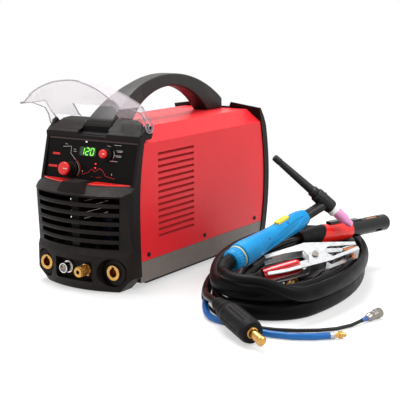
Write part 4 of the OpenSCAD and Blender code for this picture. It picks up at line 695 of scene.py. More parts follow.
class WELDER_OT_cords(bpy.types.Operator):
    """Torch sheath, its three leads with plug, fitting and connector, and the two welding leads"""

    bl_idname = "welder.cords"
    bl_label = "Hoses and leads"

    def execute(self, context):
        path, index, boot = hose_routes()
        across = 7 + 0.4 * smooth((index - HOSE_STEPS) / 6)
        up = SHEATH_R - 5 * smooth((index - HOSE_STEPS + 2) / 7)
        sheath = add_cord("torch_sheath", path, across, up, 24, "sheath_black", "torch_hose")
        # the boot swells over five stretches, with nine rings that fade before its end
        count, stretches, turns = 145, 5, 9
        ripple = 0.55 * np.sin(np.linspace(0, turns * TAU, count)) * smooth(np.linspace(4, 0, count))
        knots = np.append(np.linspace(0, stretches - 1, len(boot) - 1), stretches)
        place = np.linspace(0, stretches, count)
        fine = np.stack([np.interp(place, knots, boot[:, k]) for k in range(3)], -1)
        girth = np.interp(place, range(stretches + 1), [8, 8.6, 9.6, 10.4, 10.6, 10.6]) + ripple
        add_piece("torch_bend_relief", sweep(fine, ring_section(girth, girth, 32)), "rubber_black",
                  stands_for=("torch_boot",))
        start = path[0]
        out = unit(hose_coil(np.array([0.0])) - hose_coil(np.array([HOSE_TURNS / HOSE_STEPS])))[0]
        mouth = start + out * SEAT

        plug_d = PLUGS["torch"][1][2]
        lead = mouth + [0, 0, POWER_UP]
        power = bezier(lead, lead + out * 34, PLUG_P - plug_d * 34, PLUG_P - plug_d * SEAT,
                       np.linspace(0, 1, 37))
        piece = add_cord("power_lead_jacket", power, POWER_R, POWER_R, 20, "pvc_black", "power_lead")
        plug_sleeve("torch")
        plug_pin("torch")

        gas = mouth + [0, 0, GAS_UP]
        way = np.array([[278, -267, 5.4], [298, -270, 5.2], [320, -276, 5.2], [346, -281, 5.2],
                        [376, -281, 5.2], [404, -274, 5.2], [428, -260, 5.2], [444, -245, 5.4]])
        leave = bezier(gas, gas + out * 26, np.array([252, -262, 5.4]), way[0], np.linspace(0, 1, 8))
        gas = evened(chained(leave, way), 4)
        piece = add_cord("gas_hose_jacket", gas, GAS_R, GAS_R, 20, "pvc_blue", "gas_hose")
        end = along(gas[-1], way[-1] - way[-2])
        ferrule = add_turned(
            "gas_ferrule", [(0, 0.3), (5.2, 0.3), (5.2, 2), (5.2, 4), (5.2, 5.5), (5.2, 7), (0, 7)], end,
            "zinc_plate", "gas_fitting", radius=0.4, wobble=flutes(8, 0.25, 2, 1.5, 5.8))
        barb = add_turned("gas_barb", [
            (0, 6.5), (3.6, 6.5), (3.6, 12.9), (5.1, 12.9), (5.1, 17.9), (3.4, 17.9), (3.4, 19), (3.0, 19.4),
            (3.4, 20), (3.0, 21.4), (3.4, 22), (2.8, 23), (1.6, 23), (1.6, 20), (0, 20)], end,
            "turned_brass", "gas_fitting", steps=36, radius=0.3)

        wire = mouth + [0, 0, WIRE_UP]
        way = np.array([[300, -258, 3], [318, -260, 3], [342, -260, 3], [368, -255, 3], [394, -243, 3],
                        [418, -226, 3], [436, -206, 3], [447, -182, 3.4], [452, -160, 5]])
        leave = bezier(wire, start + out * 26 + [3, 0, WIRE_UP], np.array([276, -250, 3]), way[0],
                       np.linspace(0, 1, 8))
        wire = evened(chained(leave, way), 3)
        piece = add_cord("control_wire_jacket", wire, WIRE_R, WIRE_R, 16, "pvc_black", "control_wire")
        end = along(wire[-1], way[-1] - way[-2])
        sleeve = add_turned("control_boot", [
            (0, 0.3), (3, 0.3), (3.2, 4), (2.8, 4.4), (2.8, 5.4), (3.3, 5.8), (3.4, 8), (3, 8.4), (3, 9.4),
            (3.6, 9.8), (3.6, 12), (0, 12)], end, "polyamide_boot", "control_plug", steps=36, radius=0.3)
        shell = add_turned("control_plug_shell", [
            (0, 11.6), (4.2, 11.6), (6.4, 17.9), (6.4, 24), (5.9, 24.4), (5.9, 25.4), (6.5, 25.8),
            (6.6, 31.8), (7.4, 32), (7.4, 33), (7.4, 34), (7.4, 37), (7.4, 40), (7.4, 41), (7.4, 42),
            (5.8, 42), (5.8, 36), (0, 36)], end, "nickel_plate", "control_plug", steps=90, radius=0.35,
            wobble=flutes(30, 0.3, 1.5, 32.6, 41.4))

        earth, last, out = lead_start("earth", 3.9, 0.6, 4.8, 90)
        middle, drop = in_hank([-42, -98.5, 33.5]), unit(in_hank([0, -1, 0.2]) - in_hank([0, 0, 0]))
        grip = CLAMP[0] + np.array([-84.4, -4, 0]) @ CLAMP[1]
        pull = CLAMP[1][0]
        earth = np.concatenate([
            earth, bezier(last, last + out * 33, middle - drop * 33, middle - drop * STRAIGHT, BEND)[1:],
            bezier(middle, middle + drop * 17.6, grip - pull * 17.6, grip - pull * STRAIGHT, BEND)[1:],
            [grip]])
        holder, last, out = lead_start("holder", 3.4, 0.1, 24.6, 80)
        tail = HOLD_P - HOLD_D * SEAT
        holder = np.concatenate([
            holder, bezier(last, last + out * 80, tail - HOLD_D * 76, tail - HOLD_D * STRAIGHT,
                           np.linspace(0, 1, 49))[1:], [tail]])
        for key, way, end in (("earth", earth, grip), ("holder", holder, tail)):
            piece = add_cord(key + "_lead_jacket", way, LEAD_R, LEAD_R, 16, "pvc_black", key + "_cable")
            plug_sleeve(key)
            plug_pin(key)
        return {"FINISHED"}


# Machine


class WELDER_OT_casing(bpy.types.Operator):
    """Painted cover with its louvres, base tray, foot frame and screws"""

    bl_idname = "welder.casing"
    bl_label = "Casing"

    def execute(self, context):
        cover = dress("case_cover", "powder_coat_red", 0.5).data
        cover.materials.append(surface("primer_grey"))
        cover.materials.append(surface("powder_coat_thin"))
        at, way = np.zeros((2, len(cover.polygons) * 3), np.float32)
        cover.polygons.foreach_get("center", at)
        cover.polygons.foreach_get("normal", way)
        at, way = at.reshape(-1, 3) / MM, way.reshape(-1, 3)
        # inner faces look to the middle and take near black, painted shade of the closed case; the louvres'
        # flaps slant just inside the side walls
        inner = (way * (at - [0, 0, CASE_TOP / 2]))[:, [0, 2]].sum(1) < -1
        lean, depth = np.abs(way[:, 0]), CASE_W / 2 - np.abs(at[:, 0])
        flap = (lean > 0.2) & (lean < 0.95) & (depth > 0.6) & (depth < 6) & (at[:, 2] < CASE_TOP - 30)
        # index 1, near black, is painted shade inside the case; index 2, a darker red, is painted shade on
        # the louvres' flaps
        cover.polygons.foreach_set("material_index", np.where(flap & ~inner, 2, inner).astype(np.int32))
        dress_all({"base_tray": ("powder_coat_grey", 0.6), "foot_frame": ("rubber_black", 2),
                   "case_screws": ("black_oxide", 0.5)})
        return {"FINISHED"}


def brow_wing(side):
    """Half of the brow's upper facet, lofted across the front: it carries on the moulding's slope over the
    cover's edge to a rear edge, which comes forward and down towards the hinge of the clear cover."""
    start, slope = np.array([-184, 246.15]), 0.7
    rows = []
    for x, rear, cap, low in ((27, -158, 264.3, 252.6), (66, -158, 264.3, 252.6), (79, -163, 260.2, 241.4),
                              (87.5, -168, 250, 234.2)):
        top = min(start[1] + (rear - 1.2 - start[0]) * slope, cap)
        ridge = start[0] + (top - start[1]) / slope
        line = [start, (ridge, top), (rear, top - 0.9), (rear, low), (-174.5, low), (-183.6, 245.5)]
        rows.append([(side * x, y, z) for y, z in line])
    return sheet_of(np.array(rows, float), caps=True)


def grille_slat(i):
    """Rounded nose of the grille's slat between slot i and the next: a half ellipse, carried round the
    bowed front on an arc that leans out with its height."""
    pitch = (GRILLE_Z[1] - GRILLE_Z[0]) / GRILLE_SLOTS
    z = GRILLE_Z[0] + (i + 1) * pitch
    r = np.interp(z, GRILLE_Z, [FRONT_R - 8, FRONT_R - 2])
    nose, root, reach = 2.4, 2.0, math.asin((76.4 + i) / r)
    t = np.radians(np.linspace(-90, 90, 13))
    out = np.concatenate([r + nose * np.cos(t), [r - root, r - root]])
    up = np.concatenate([z + 0.24 * pitch * np.sin(t), [z + 0.2 * pitch, z - 0.2 * pitch]])
    a = np.linspace(-reach, reach, 40)[:, None]
    grid = np.stack(np.broadcast_arrays(out * np.sin(a), FRONT_Y - out * np.cos(a), up), -1)
    return sheet_of(grid, caps=True)


def crosswise(outline, half):
    """An outline in the second and third axes made solid to half its width on both sides."""
    points, faces = slab(outline, -half, half)
    return points[:, [2, 0, 1]], faces


class WELDER_OT_front(bpy.types.Operator):
    """Bowed front moulding with its grille, trim, weld sockets and connectors"""

    bl_idname = "welder.front"
    bl_label = "Front moulding"

    def execute(self, context):
        dress("front_bezel", "moulded_abs_black", context.scene.welder_sizes.edge / MM)
        # lip behind each side wall, inside the cover's curved edge: no light passes the seam
        z = np.linspace(28, 236, 40)[:, None]
        bow = np.where(z > SEAM_Z, SEAM_R[1], SEAM_R[0])
        seam = SEAM_Y + bow - np.sqrt(bow ** 2 - (z - SEAM_Z) ** 2)
        plan = np.array([(91.1, -3), (91.1, -0.7), (89.2, -0.7), (89.2, 8), (88.2, 8), (88.2, -3)])
        for key, side in (("left", -1), ("right", 1)):
            grid = np.stack(np.broadcast_arrays(side * plan[:, 0], seam + plan[:, 1], z), -1)
            add_piece("front_lip_" + key, sheet_of(grid, caps=True), "moulded_abs_black")
        slats = joined(*[grille_slat(i) for i in range(GRILLE_SLOTS - 1)])
        add_piece("grille_slats", slats, "moulded_abs_black")
        # bar behind the finger pocket, and under it a dark sheet in the pocket: painted shade
        bar = crosswise([(-177.8, 249), (-177.8, 250.4), (-174.2, 256.4), (-171.6, 256.4), (-171.6, 249)], 27)
        add_piece("brow_upper", joined(brow_wing(-1), brow_wing(1), bar), "moulded_abs_black", bevel=0.6)
        pocket_shade = crosswise([(-186.0, 238.8), (-178.4, 243.0), (-178.4, 252.0), (-179.0, 252.0), (-179.0, 243.4),
                         (-186.2, 239.5)], 26.5)
        add_piece("pocket_mat", pocket_shade, "sheath_black")
        dress_all({"trim_strip": ("abs_red", 0.4), "socket_shells": ("moulded_abs_black", 0.6),
                   "socket_contacts": ("turned_brass", 0.5), "gas_outlet": ("turned_brass", 0.3),
                   "control_socket": ("chrome_plate", 0.3)})
        return {"FINISHED"}


class WELDER_OT_rear(bpy.types.Operator):
    """Rear moulding with the fan behind its guard, switch, cable gland and gas inlet"""

    bl_idname = "welder.rear"
    bl_label = "Rear moulding"

    def execute(self, context):
        dress_all({"rear_bezel": ("moulded_abs_black", context.scene.welder_sizes.edge / MM),
                   "fan_frame": ("moulded_abs_black", 0.5), "fan_rotor": ("moulded_abs_black", 0.3),
                   "rocker_switch": ("abs_red", 0.6), "cable_gland": ("moulded_abs_black", 0.5),
                   "gas_inlet": ("turned_brass", 0.3)})
        return {"FINISHED"}


class WELDER_OT_inside(bpy.types.Operator):
    """Boards, heat sinks and other parts behind the louvres and the grille"""

    bl_idname = "welder.inside"
    bl_label = "Inside"

    def execute(self, context):
        # the heat sinks are near black: painted shade of the closed case
        for node, finish in {
            "power_board": "solder_resist", "control_board": "solder_resist",
            "heat_sinks": "black_anodised_aluminium", "transformer": "enamelled_copper",
            "capacitors": "shrink_film", "gas_valve": "turned_brass", "encoder_bodies": "nickel_plate",
        }.items():
            paint(node, finish)
        return {"FINISHED"}


class WELDER_OT_handle(bpy.types.Operator):
    """Carry handle: a rounded section lofted under one arc and over another"""

    bl_idname = "welder.handle"
    bl_label = "Carry handle"

    def execute(self, context):
        y = np.linspace(*HANDLE_ENDS, 170)
        off = (y - HANDLE_Y) ** 2
        low = np.maximum(CASE_TOP + 0.1, UNDER_Z + np.sqrt(np.maximum(UNDER_R ** 2 - off, 0)))
        ends = np.minimum(y - HANDLE_ENDS[0], HANDLE_ENDS[1] - y)
        tip = 3.0
        ease = tip - np.sqrt(tip ** 2 - np.maximum(tip - ends, 0) ** 2)
        high = OVER_Z + np.sqrt(OVER_R ** 2 - off) - ease
        wide = np.interp(y, [-164, -76, 70, 204], [25, 15, 15, 18]) - ease
        middle, half = (high + low) / 2, (high - low) / 2
        soft = np.minimum(3.6, half - 0.3)
        quarter = np.linspace(0, 1, 7)
        turn = np.concatenate([(k + quarter) * math.pi / 2 for k in range(4)])
        sx, sz = (np.repeat(signs, len(quarter)) for signs in ([1, -1, -1, 1], [1, 1, -1, -1]))
        y, wide, middle, half, soft = (v[:, None] for v in (y, wide, middle, half, soft))
        grid = np.stack(np.broadcast_arrays(
            sx * (wide - soft) + soft * np.cos(turn), y,
            middle + sz * (half - soft) + soft * np.sin(turn)), -1)
        add_piece("carry_handle_grip", sheet_of(grid, caps=True), "nylon_grip", stands_for=("carry_handle",))
        return {"FINISHED"}


# Control panel

# middles of the two knobs on the plate, across and up
CURRENT, MODE = (-35.0, 14.5), (32.0, 43.0)
# heights of the print over the plate
PRINT = -0.42, -0.3
# bars of a numeral, from end to end, in widths and half heights; and the lit ones
BARS = {"a": (0, 2, 1, 2), "b": (1, 1, 1, 2), "c": (1, 0, 1, 1), "d": (0, 0, 1, 0),
        "e": (0, 0, 0, 1), "f": (0, 1, 0, 2), "g": (0, 1, 1, 1)}
NUMERALS = {"1": "bc", "2": "abged", "0": "abcdef"}


def arc(x, v, r, a0, a1, steps=24):
    """Points of an arc on the plate; angles in degrees from the right, anticlockwise."""
    a = np.radians(np.linspace(a0, a1, steps))
    return np.column_stack([x + r * np.cos(a), v + r * np.sin(a)])


def digit(lit, x, v, w, h):
    """The lit bars of a seven bar numeral: bars with pointed ends, leaning by an eighth."""
    gap, half = 0.35, 0.62
    shapes = []
    for key in lit:
        p, q = np.array(BARS[key]).reshape(2, 2) * [w, h / 2]
        d = unit(q - p)
        n = np.array([-d[1], d[0]]) * half
        p, q = p + d * gap, q - d * gap
        line = np.array([p, p + d * half + n, q - d * half + n, q, q - d * half - n, p + d * half - n])
        line[:, 0] += line[:, 1] / 8
        shapes.append(slab(line + [x, v], 0.22, 0.36))
    return shapes


def add_knob(key, at, r, h, skirt):
    """A knob on its own body: fluted skirt, grip, red cap and a white mark that points across."""
    body = key + "_knob"
    place = (PLATE[0] + np.array([*at, 0.2]) @ PLATE[1], PLATE[1])
    foot, cap = r + skirt, h - 4.6
    add_turned(key + "_skirt", [
        (0, -11.8), (3, -11.8), (3, 0.1), (foot, 0.1), (foot, 2), (foot, 3.6), (foot - 0.5, 4.4),
        (r - 0.2, 4.6), (r - 0.3, 5.2), (0, 5.2)], place, "moulded_abs_black", body, body, steps=144,
        radius=0.3, wobble=flutes(24, 0.6, 1.6, -np.inf, 4.4, 3, 0.2))
    add_turned(key + "_grip", [
        (0, 4.7), (r - 0.2, 4.7), (r - 0.3, 6), (r - 0.5, (6 + cap) / 2), (r - 0.7, cap - 1), (r - 0.8, cap),
        (0, cap)], place, "moulded_abs_black", None, body, steps=108, radius=0.4,
        wobble=flutes(18, 0.4, 2, -np.inf, cap - 0.6))
    add_turned(key + "_cap", [
        (0, cap + 0.05), (r - 0.7, cap + 0.05), (r - 0.6, cap + 0.6), (r - 0.9, h - 0.4), (r - 2, h + 0.7),
        (0, h + 0.9)], place, "abs_red", None, body, steps=96, radius=0.5)
    mark = slab(rectangle(r * 0.1, -0.6, r - 2.2, 0.6), h + 0.6, h + 0.98)
    add_piece(key + "_mark", placed(mark, place), "print_white", body)


class WELDER_OT_panel(bpy.types.Operator):
    """Control plate with its printed lines, display, diodes and two knobs"""

    bl_idname = "welder.panel"
    bl_label = "Control panel"

    def execute(self, context):
        dress_all({"control_plate": ("printed_film", 0.3), "display_lens": ("acrylic_dark", 0.3)})
        white = [rounded([(-58, 49.5), (-41, 51), (-41, 39.5), (-30, 31)], 1.2),
                 arc(*MODE, 13.6, 96, 66), arc(*MODE, 13.6, 28, -22), arc(*CURRENT, 14.4, 62, -40)]
        # plain bars beside the mode knob, the slope line and the wave, in place of signs
        white += [np.array([(x, v), (x + w, v)]) for x, v, w in (
            (43.6, 58.6, 13.4), (49, 50.4, 12.5), (50.5, 48.6, 10), (47.5, 42.6, 12.5), (49, 40.8, 10.5),
            (38, 33.5, 15), (-54, 54, 5), (-36, 46.6, 5), (-36, 43.4, 6.5))]
        arrows = [slab(np.array([(-0.9, 0), (0.9, 0), (0, -3.4)]) + at, *PRINT)
                  for at in ((-13.5, 14.5), (44.5, 14))]
        wave = [(-15, 9), (-9, 9), (-6.5, 11.5), (-2.5, 11.5), (4.5, 18.6), (11, 14), (15, 17.5),
                (20.5, 20.4), (26, 17.5), (33, 9.6), (38, 8.4), (51, 6.4)]
        red = [arc(*CURRENT, 16.6, 84, -36), arc(*MODE, 13.6, -30, -52, 8), rounded(wave, 1.6),
               np.array([(5.5, 6.6), (8, 6.6)]), np.array([(14, 6.2), (24, 6.2), (24, 8.2)])]
        red_bars = [slab(rectangle(x, v - h, x + w, v + h, 0.8, 3), *PRINT)
                    for x, v, w, h in ((-78, 37.6, 15, 1.6), (-84, 17.4, 18, 1.8))]
        for name, shapes, finish in (
            ("panel_lines_white", [stroke(line, 0.5, *PRINT) for line in white] + arrows, "print_white"),
            ("panel_lines_red", [stroke(line, 0.6, *PRINT) for line in red] + red_bars, "print_red"),
            # a maroon band at the plate's head: painted shade under the brow
            ("panel_head_strip", [slab(rectangle(-88, 61.9, 88, 64.4), *PRINT)], "print_maroon"),
            ("display_halo", [slab(rectangle(-22.4, 38, 9.4, 52, 3), 0.205, 0.215)],
             material("dim_green", lit_lens, "#12300F", 0.5)),
            ("display_numerals", [bar for k, n in enumerate("120")
                                  for bar in digit(NUMERALS[n], -20.6 + 9.6 * k, 39.6, 6, 10.8)],
             material("lit_green", lit_lens, "#7CF04A", 1.3)),
        ):
            add_piece(name, placed(joined(*shapes), PLATE), finish)
        for key, x, v, lit, level in (
            ("white", -11.7, 60, "#F4F4F0", 1.0), ("red_upper", 11, 27, "#FF3A2A", 1.6),
            ("red_lower", 11, 20.5, "#FF3A2A", 1.6),
        ):
            dome = lathe([(0.9, -6), (0.9, 0), (0.83, 0.36), (0.63, 0.64), (0.34, 0.83), (0, 0.9)], 24)
            add_piece("diode_" + key, placed((dome[0] + [x, v, 0], dome[1]), PLATE),
                      material("lit_" + key.split("_")[0], lit_lens, lit, level), stands_for=("panel_leds",))
        add_knob("current", CURRENT, 11.0, 22.0, 1.2)
        add_knob("mode", MODE, 7.5, 13.0, 3.0)
        return {"FINISHED"}


class WELDER_OT_clear_cover(bpy.types.Operator):
    """Clear hood that swings up over the control panel"""

    bl_idname = "welder.clear_cover"
    bl_label = "Clear cover"

    def execute(self, context):
        colours = context.scene.welder_colours
        plain, edge, cheek = (
            material("clear_polycarbonate" + key, clear_polycarbonate, tint, haze) for key, tint, haze in (
                ("", colours.clear, 0.24), ("_edge", colours.clear_edge_shade, 0.85),
                ("_cheek", colours.clear, 0.07)))
        hood = add_piece("clear_hood", node_shape("clear_cover"), plain, "clear_cover", ("clear_cover",),
                         bevel=0.4, from_cad=True)
        hood.data.materials.append(edge)
        hood.data.materials.append(cheek)
        # a face as narrow as the wall is thick, with no other face close behind it, is a cut edge and takes
        # the darker copy, painted shade of the edge
        sides, corners = hood.data.polygons, [v.co for v in hood.data.vertices]
        wall = BVHTree.FromPolygons(corners, [p.vertices[:] for p in sides])
        meet = {}
        for side in sides:
            rim = [corners[k] for k in side.vertices]
            length = sum((p - q).length for p, q in zip(rim, rim[1:] + rim[:1]))
            behind = wall.ray_cast(side.center - side.normal * 0.02 * MM, -side.normal)[3] or 1
            cut = 2 * side.area / length < 1.2 * HOOD_WALL * MM and behind > 1.4 * HOOD_WALL * MM
            side.material_index = 1 if cut else 2 if abs(side.normal.x) > CHEEK else 0
            for pair in side.edge_keys:
                meet.setdefault(pair, []).append(np.array(side.normal))
        # fine dark lines just inside the wall, where the cheeks meet the plate: painted shade for the light
        # these corners gather
        girth = np.full(2, 0.55)
        section = ring_section(girth, girth, 6)
        lines = [sweep(np.array([corners[a], corners[b]]) / MM - 0.7 * sum(held), section)
                 for (a, b), held in meet.items()
                 if len(held) == 2 and (abs(held[0][0]) > CHEEK) != (abs(held[1][0]) > CHEEK)]
        lines = add_piece("hood_corner_lines", joined(*lines), edge, "clear_cover")
        return {"FINISHED"}


# Torch


def torch_half(side):
    """Half of the torch handle: radius over length and angle, with a hollow leaf on the flank, a
    seat for the trigger on top, and a flat parting face."""
    edges = [TRIGGER_AT - 15.2, TRIGGER_AT + 15.2]
    z = np.sort(np.concatenate([np.linspace(0, TORCH_L, 110), edges, np.array(edges) + [0.01, -0.01]]))
    fine = np.arange(0, TORCH_L + 0.1, 0.5)
    r = np.interp(fine, [0, 18, 36, 66, 92, 122, 146, 160, TORCH_L],
                  [19, 19.5, 18, 16, 15.2, 15.8, 15.6, 13.6, 12])
    r = np.convolve(np.pad(r, 12, "edge"), np.ones(25) / 25, "valid")
    end, tip = np.minimum(fine, TORCH_L - fine), 2.0
    r = np.interp(z, fine, r - (tip - np.sqrt(tip ** 2 - np.maximum(tip - end, 0) ** 2)))
    seat_half, seat_floor = 5.2, -7
    seat = np.pi - np.arcsin(seat_half / r)
    first, second = np.linspace(0, 1, 60), np.linspace(0, 1, 8)
    angle = np.concatenate([seat[:, None] * first, seat[:, None] + (np.pi - seat)[:, None] * second], 1)
    low, high = leaf = 40, 152
    middle = np.radians(np.interp(z, leaf, [62, 128]))[:, None]
    swell = np.clip(np.sin(np.pi * (z - low) / (high - low)), 0, 1) * ((z > low) & (z < high))
    span = np.radians(25) * np.sqrt(swell)[:, None]
    hollow = 1.5 * smooth((span - np.abs(angle - middle)) / np.radians(5))
    rr = r[:, None] - hollow
    x, y = rr * np.cos(angle), rr * np.sin(angle)
    inside = ((z > edges[0] + 0.005) & (z < edges[1] - 0.005))[:, None] & (np.arange(angle.shape[1]) >= 60)
    x = np.where(inside, np.maximum(x, seat_floor), x)
    grid = np.stack([x, side * (y + 0.1), np.repeat(z[:, None], angle.shape[1], 1)], -1)
    return sheet_of(grid, caps=True), r, z


class WELDER_OT_torch(bpy.types.Operator):
    """Torch: two handle halves, trigger, collar, neck and head with its cap and nozzle"""

    bl_idname = "welder.torch"
    bl_label = "Torch"

    def execute(self, context):
        for key, side in (("left", 1), ("right", -1)):
            shape, r, z = torch_half(side)
            add_piece("torch_handle_" + key, placed(shape, TORCH), "polyamide_blue",
                      stands_for=("torch_shell_" + key,))
        screw = lathe([(0, 0), (1.9, 0), (1.9, 0.75), (1.2, 0.8), (1.1, 0.3), (0, 0.3)], 24)
        screws, sunk = [], 0.6
        for at, turn in ((24, 55), (58, 118), (112, 140), (152, 66)):
            seat = float(np.interp(at, z, r)) - sunk
            for a in (math.radians(turn), -math.radians(turn)):
                out = np.array([math.cos(a), math.sin(a), 0])
                screws.append(placed(screw, along(out * seat + [0, 0, at], out)))
        add_piece("torch_screws", placed(joined(*screws), TORCH), "black_oxide")
        press = (TORCH[0], np.array([TORCH[1][1], TORCH[1][2], -TORCH[1][0]]))
        pad = slab(rectangle(-4.7, TRIGGER_AT - 14.7, 4.7, TRIGGER_AT + 14.7, 3, 6), 9.8, 18.3)
        ribs = [slab(rectangle(-3.6, TRIGGER_AT + k - 0.6, 3.6, TRIGGER_AT + k + 0.6, 0.4, 3), 18, 18.8)
                for k in (-6, -3, 0, 3, 6)]
        add_piece("trigger_pad", placed(joined(pad, *ribs), press), "acetal_yellow", "torch_trigger",
                  ("torch_trigger",), 0.9, 3)
        rows = [(16.5, float(k)) for k in np.arange(-12.5, -4.4, 0.9)]
        add_turned("torch_collar_nut", [
            (8.3, -COLLAR_L), (14, -COLLAR_L), (16.2, -14.4), (16.5, -13.2), *rows, (16.5, -4), (16.5, -2.8),
            (15.2, -2.4), (8.3, -2.4)], TORCH, "polyamide_blue", "torch_collar", steps=120, radius=0.5,
            wobble=flutes(20, 0.7, 1.4, -13, -4.4, 1.5))
        add_turned("torch_collar_ring", [
            (9, -2.3), (16.9, -2.3), (17.4, -1.7), (17.4, -0.9), (16.9, -0.4), (9, -0.4)], TORCH,
            "acetal_cream", "torch_collar", steps=64)
        bend = evened(rounded([FRONT_P - TORCH_D * 22, FRONT_P + TORCH_D * 4, HEAD_P], 16, 10), 1.5)
        neck = sweep(bend, ring_section(*np.full((2, len(bend)), 8.4), 40))
        gland = placed(lathe([(0, 0), (10.6, 0), (10.6, 4), (9.6, 5), (0, 5)], 48, 0.6),
                       (FRONT_P - TORCH_D * 0.6, TORCH[1]))
        head = placed(lathe([
            (5.4, -24), (10, -24), (11.5, -22), (11.5, 9), (10.6, 12), (5.4, 12)], 56, 1.6), HEAD)
        ridge = placed(lathe([(11.2, -14), (12.2, -12.6), (12.2, -10.4), (11.2, -9)], 56), HEAD)
        add_piece("torch_neck", joined(neck, gland, head, ridge), "phenolic_black",
                  stands_for=("torch_head",))
        tip = -32.4 - 84
        add_turned("back_cap_tube", [
            (0, tip), (4.4, tip), (5.4, tip + 1.4), (5.6, tip + 12.6), (5.0, tip + 13.6), (5.0, tip + 15),
            (5.4, tip + 16.5), (7.0, -33.2), (8.7, -32.4), (9, -31), (9, -29.5), (9, -27.5), (9, -26),
            (8.6, -24.5), (5.3, -24.4), (5.3, -12), (0, -12)], HEAD, "phenolic_black", "back_cap",
            "back_cap", steps=64, radius=0.6, wobble=flutes(16, 0.4, 1.5, -32, -25, 1.5))
        add_turned("gasket_ring", [(5.8, 12.4), (10.5, 12.4), (11, 20.4), (5.8, 20.4)], HEAD, "turned_ptfe",
                   "nozzle_gasket", steps=56, radius=0.7)
        foot, tall = 20.8, 36.0
        rim = foot + tall
        add_turned("gas_cup", [
            (6, foot), (8.6, foot), (8.4, foot + 10), (8.2, foot + tall * 0.6), (5.7, foot + tall * 0.78),
            (5.6, rim - 1), (5.2, rim), (4.2, rim), (4, rim - 1), (4, foot + tall * 0.62),
            (6, foot + tall * 0.62), (6, foot)], HEAD, "fired_alumina", "gas_nozzle", steps=64, radius=0.8)
        paint("collet_body", "drawn_copper")
        return {"FINISHED"}


class WELDER_OT_clamp(bpy.types.Operator):
    """Earth clamp: zinc plated arms, copper jaws, spring and a dipped grip"""

    bl_idname = "welder.clamp"
    bl_label = "Earth clamp"

    def execute(self, context):
        dress_all({"clamp_lower_arm": ("zinc_plate", 0.5), "clamp_upper_arm": ("zinc_plate", 0.5),
                   "clamp_pivot": ("nickel_plate", 0.5), "clamp_jaw_lower": ("drawn_copper", 0.4),
                   "clamp_jaw_upper": ("drawn_copper", 0.4), "clamp_grip": ("pvc_dip_red", 1.2, 3),
                   "clamp_spring": ("zinc_plate", 0.0)})
        return {"FINISHED"}


class WELDER_OT_holder(bpy.types.Operator):
    """Electrode holder: red shell over a dark grip, slotted head with a copper insert, and lever"""

    bl_idname = "welder.holder"
    bl_label = "Electrode holder"

    def execute(self, context):
        dress("holder_grip", "abs_red", 1.0, 3)
        # ribbed tail sleeve, from its foot round the lead to a slanting rim on the red shell
        turn, foot, bore, mouth, rib = around(72), -0.3, 4.9, 10, 4.4
        rim = 41 - 12 * np.cos(turn)
        z = np.linspace(0, 1, 40)[:, None] * (rim - foot) + foot
        r = np.interp(z, [foot, 0.6, 22, 30, 60], [11.8, 12.7, 14.2, 16.2, 17.2])
        ribs = 0.35 * np.sin(z * TAU / rib) * smooth((20 - z) / 4) * smooth((z - 3) / 2)
        grid = np.concatenate([
            rings(bore, turn, foot)[None], rings(r + ribs, turn, z), rings(mouth, turn, rim)[None]])
        add_piece("holder_tail_sleeve", placed(sheet_of(grid), HOLD), "rubber_black", sharp=40)
        dress("holder_head", "phenolic_polished", 0.8, 3)
        bar = slab(rectangle(-12.5, -3.8, 7, 3.8, 0.8, 3), 153, 181)
        add_piece("holder_insert", placed(bar, HOLD), "drawn_copper", bevel=0.5)
        dress("holder_lever", "phenolic_polished", 0.8, 3)
        return {"FINISHED"}


# Stage, in metres

# lamps: where each stands and how wide it is, and what they are aimed at
LAMPS = {"key": ((2.1, 0.0, 1.7), 1.5), "fill": ((-0.8, -1.6, 2.2), 1.3), "top": ((-0.5, 0.2, 2.1), 1.3)}
LIT_P = Vector((0.1, -0.05, 0.12))
# the camera, fitted to the photo: place, aim, roll, focal length and sensor (mm), and clipping
CAMERA_P, AIM_P = (Vector(p) * MM for p in ((1025.0, -1449.8, 444.8), (57.43, 31.44, 105.49)))
ROLL, FOCAL, SENSOR, CLIP = math.radians(-0.18), 93.32, 36, (0.05, 60)
# the floor's first and last ring, in millimetres
FLOOR_R = 200, 14000
# the paper's colour, the middle of its shadow, and where the shadow begins and ends to fade
PAPER, SHADOW_P, SHADOW_R = "#F4F3F2", (0.15, -0.05, 0), (0.3, 0.85)


def seen_rays(tree):
    """1 for what the camera sees, also in gloss and through clear pieces, and 0 for light sent out."""
    rays = add_node(tree, "LightPath").outputs
    seen = rays["Is Camera Ray"]
    for kind in ("Is Glossy Ray", "Is Transmission Ray"):
        seen = add_node(tree, "Math", {"operation": "MAXIMUM"}, {0: seen, 1: rays[kind]}).outputs[0]
    return seen


def studio_paper(tree, near):
    """Matt paper that shows as even white far from the object, and as a share of it close by, where
    the shadow lies."""
    place = add_node(tree, "TexCoord").outputs["Object"]
    place = add_node(tree, "VectorMath", {"operation": "DISTANCE"}, {0: place, 1: SHADOW_P})
    far = add_node(tree, "MapRange", {"interpolation_type": "SMOOTHSTEP"}, {
        "Value": place.outputs["Value"], "From Min": SHADOW_R[0], "From Max": SHADOW_R[1],
        "To Min": near, "To Max": 1.0})
    share = add_node(tree, "Math", {"operation": "MULTIPLY"}, {0: seen_rays(tree), 1: far.outputs["Result"]})
    matt = add_node(tree, "BsdfDiffuse", {}, {"Color": linear(PAPER)})
    glow = add_node(tree, "Emission", {}, {"Color": (1, 1, 1, 1), "Strength": 1.0})
    return add_node(tree, "MixShader", {}, {0: share.outputs[0], 1: matt.outputs[0], 2: glow.outputs[0]})


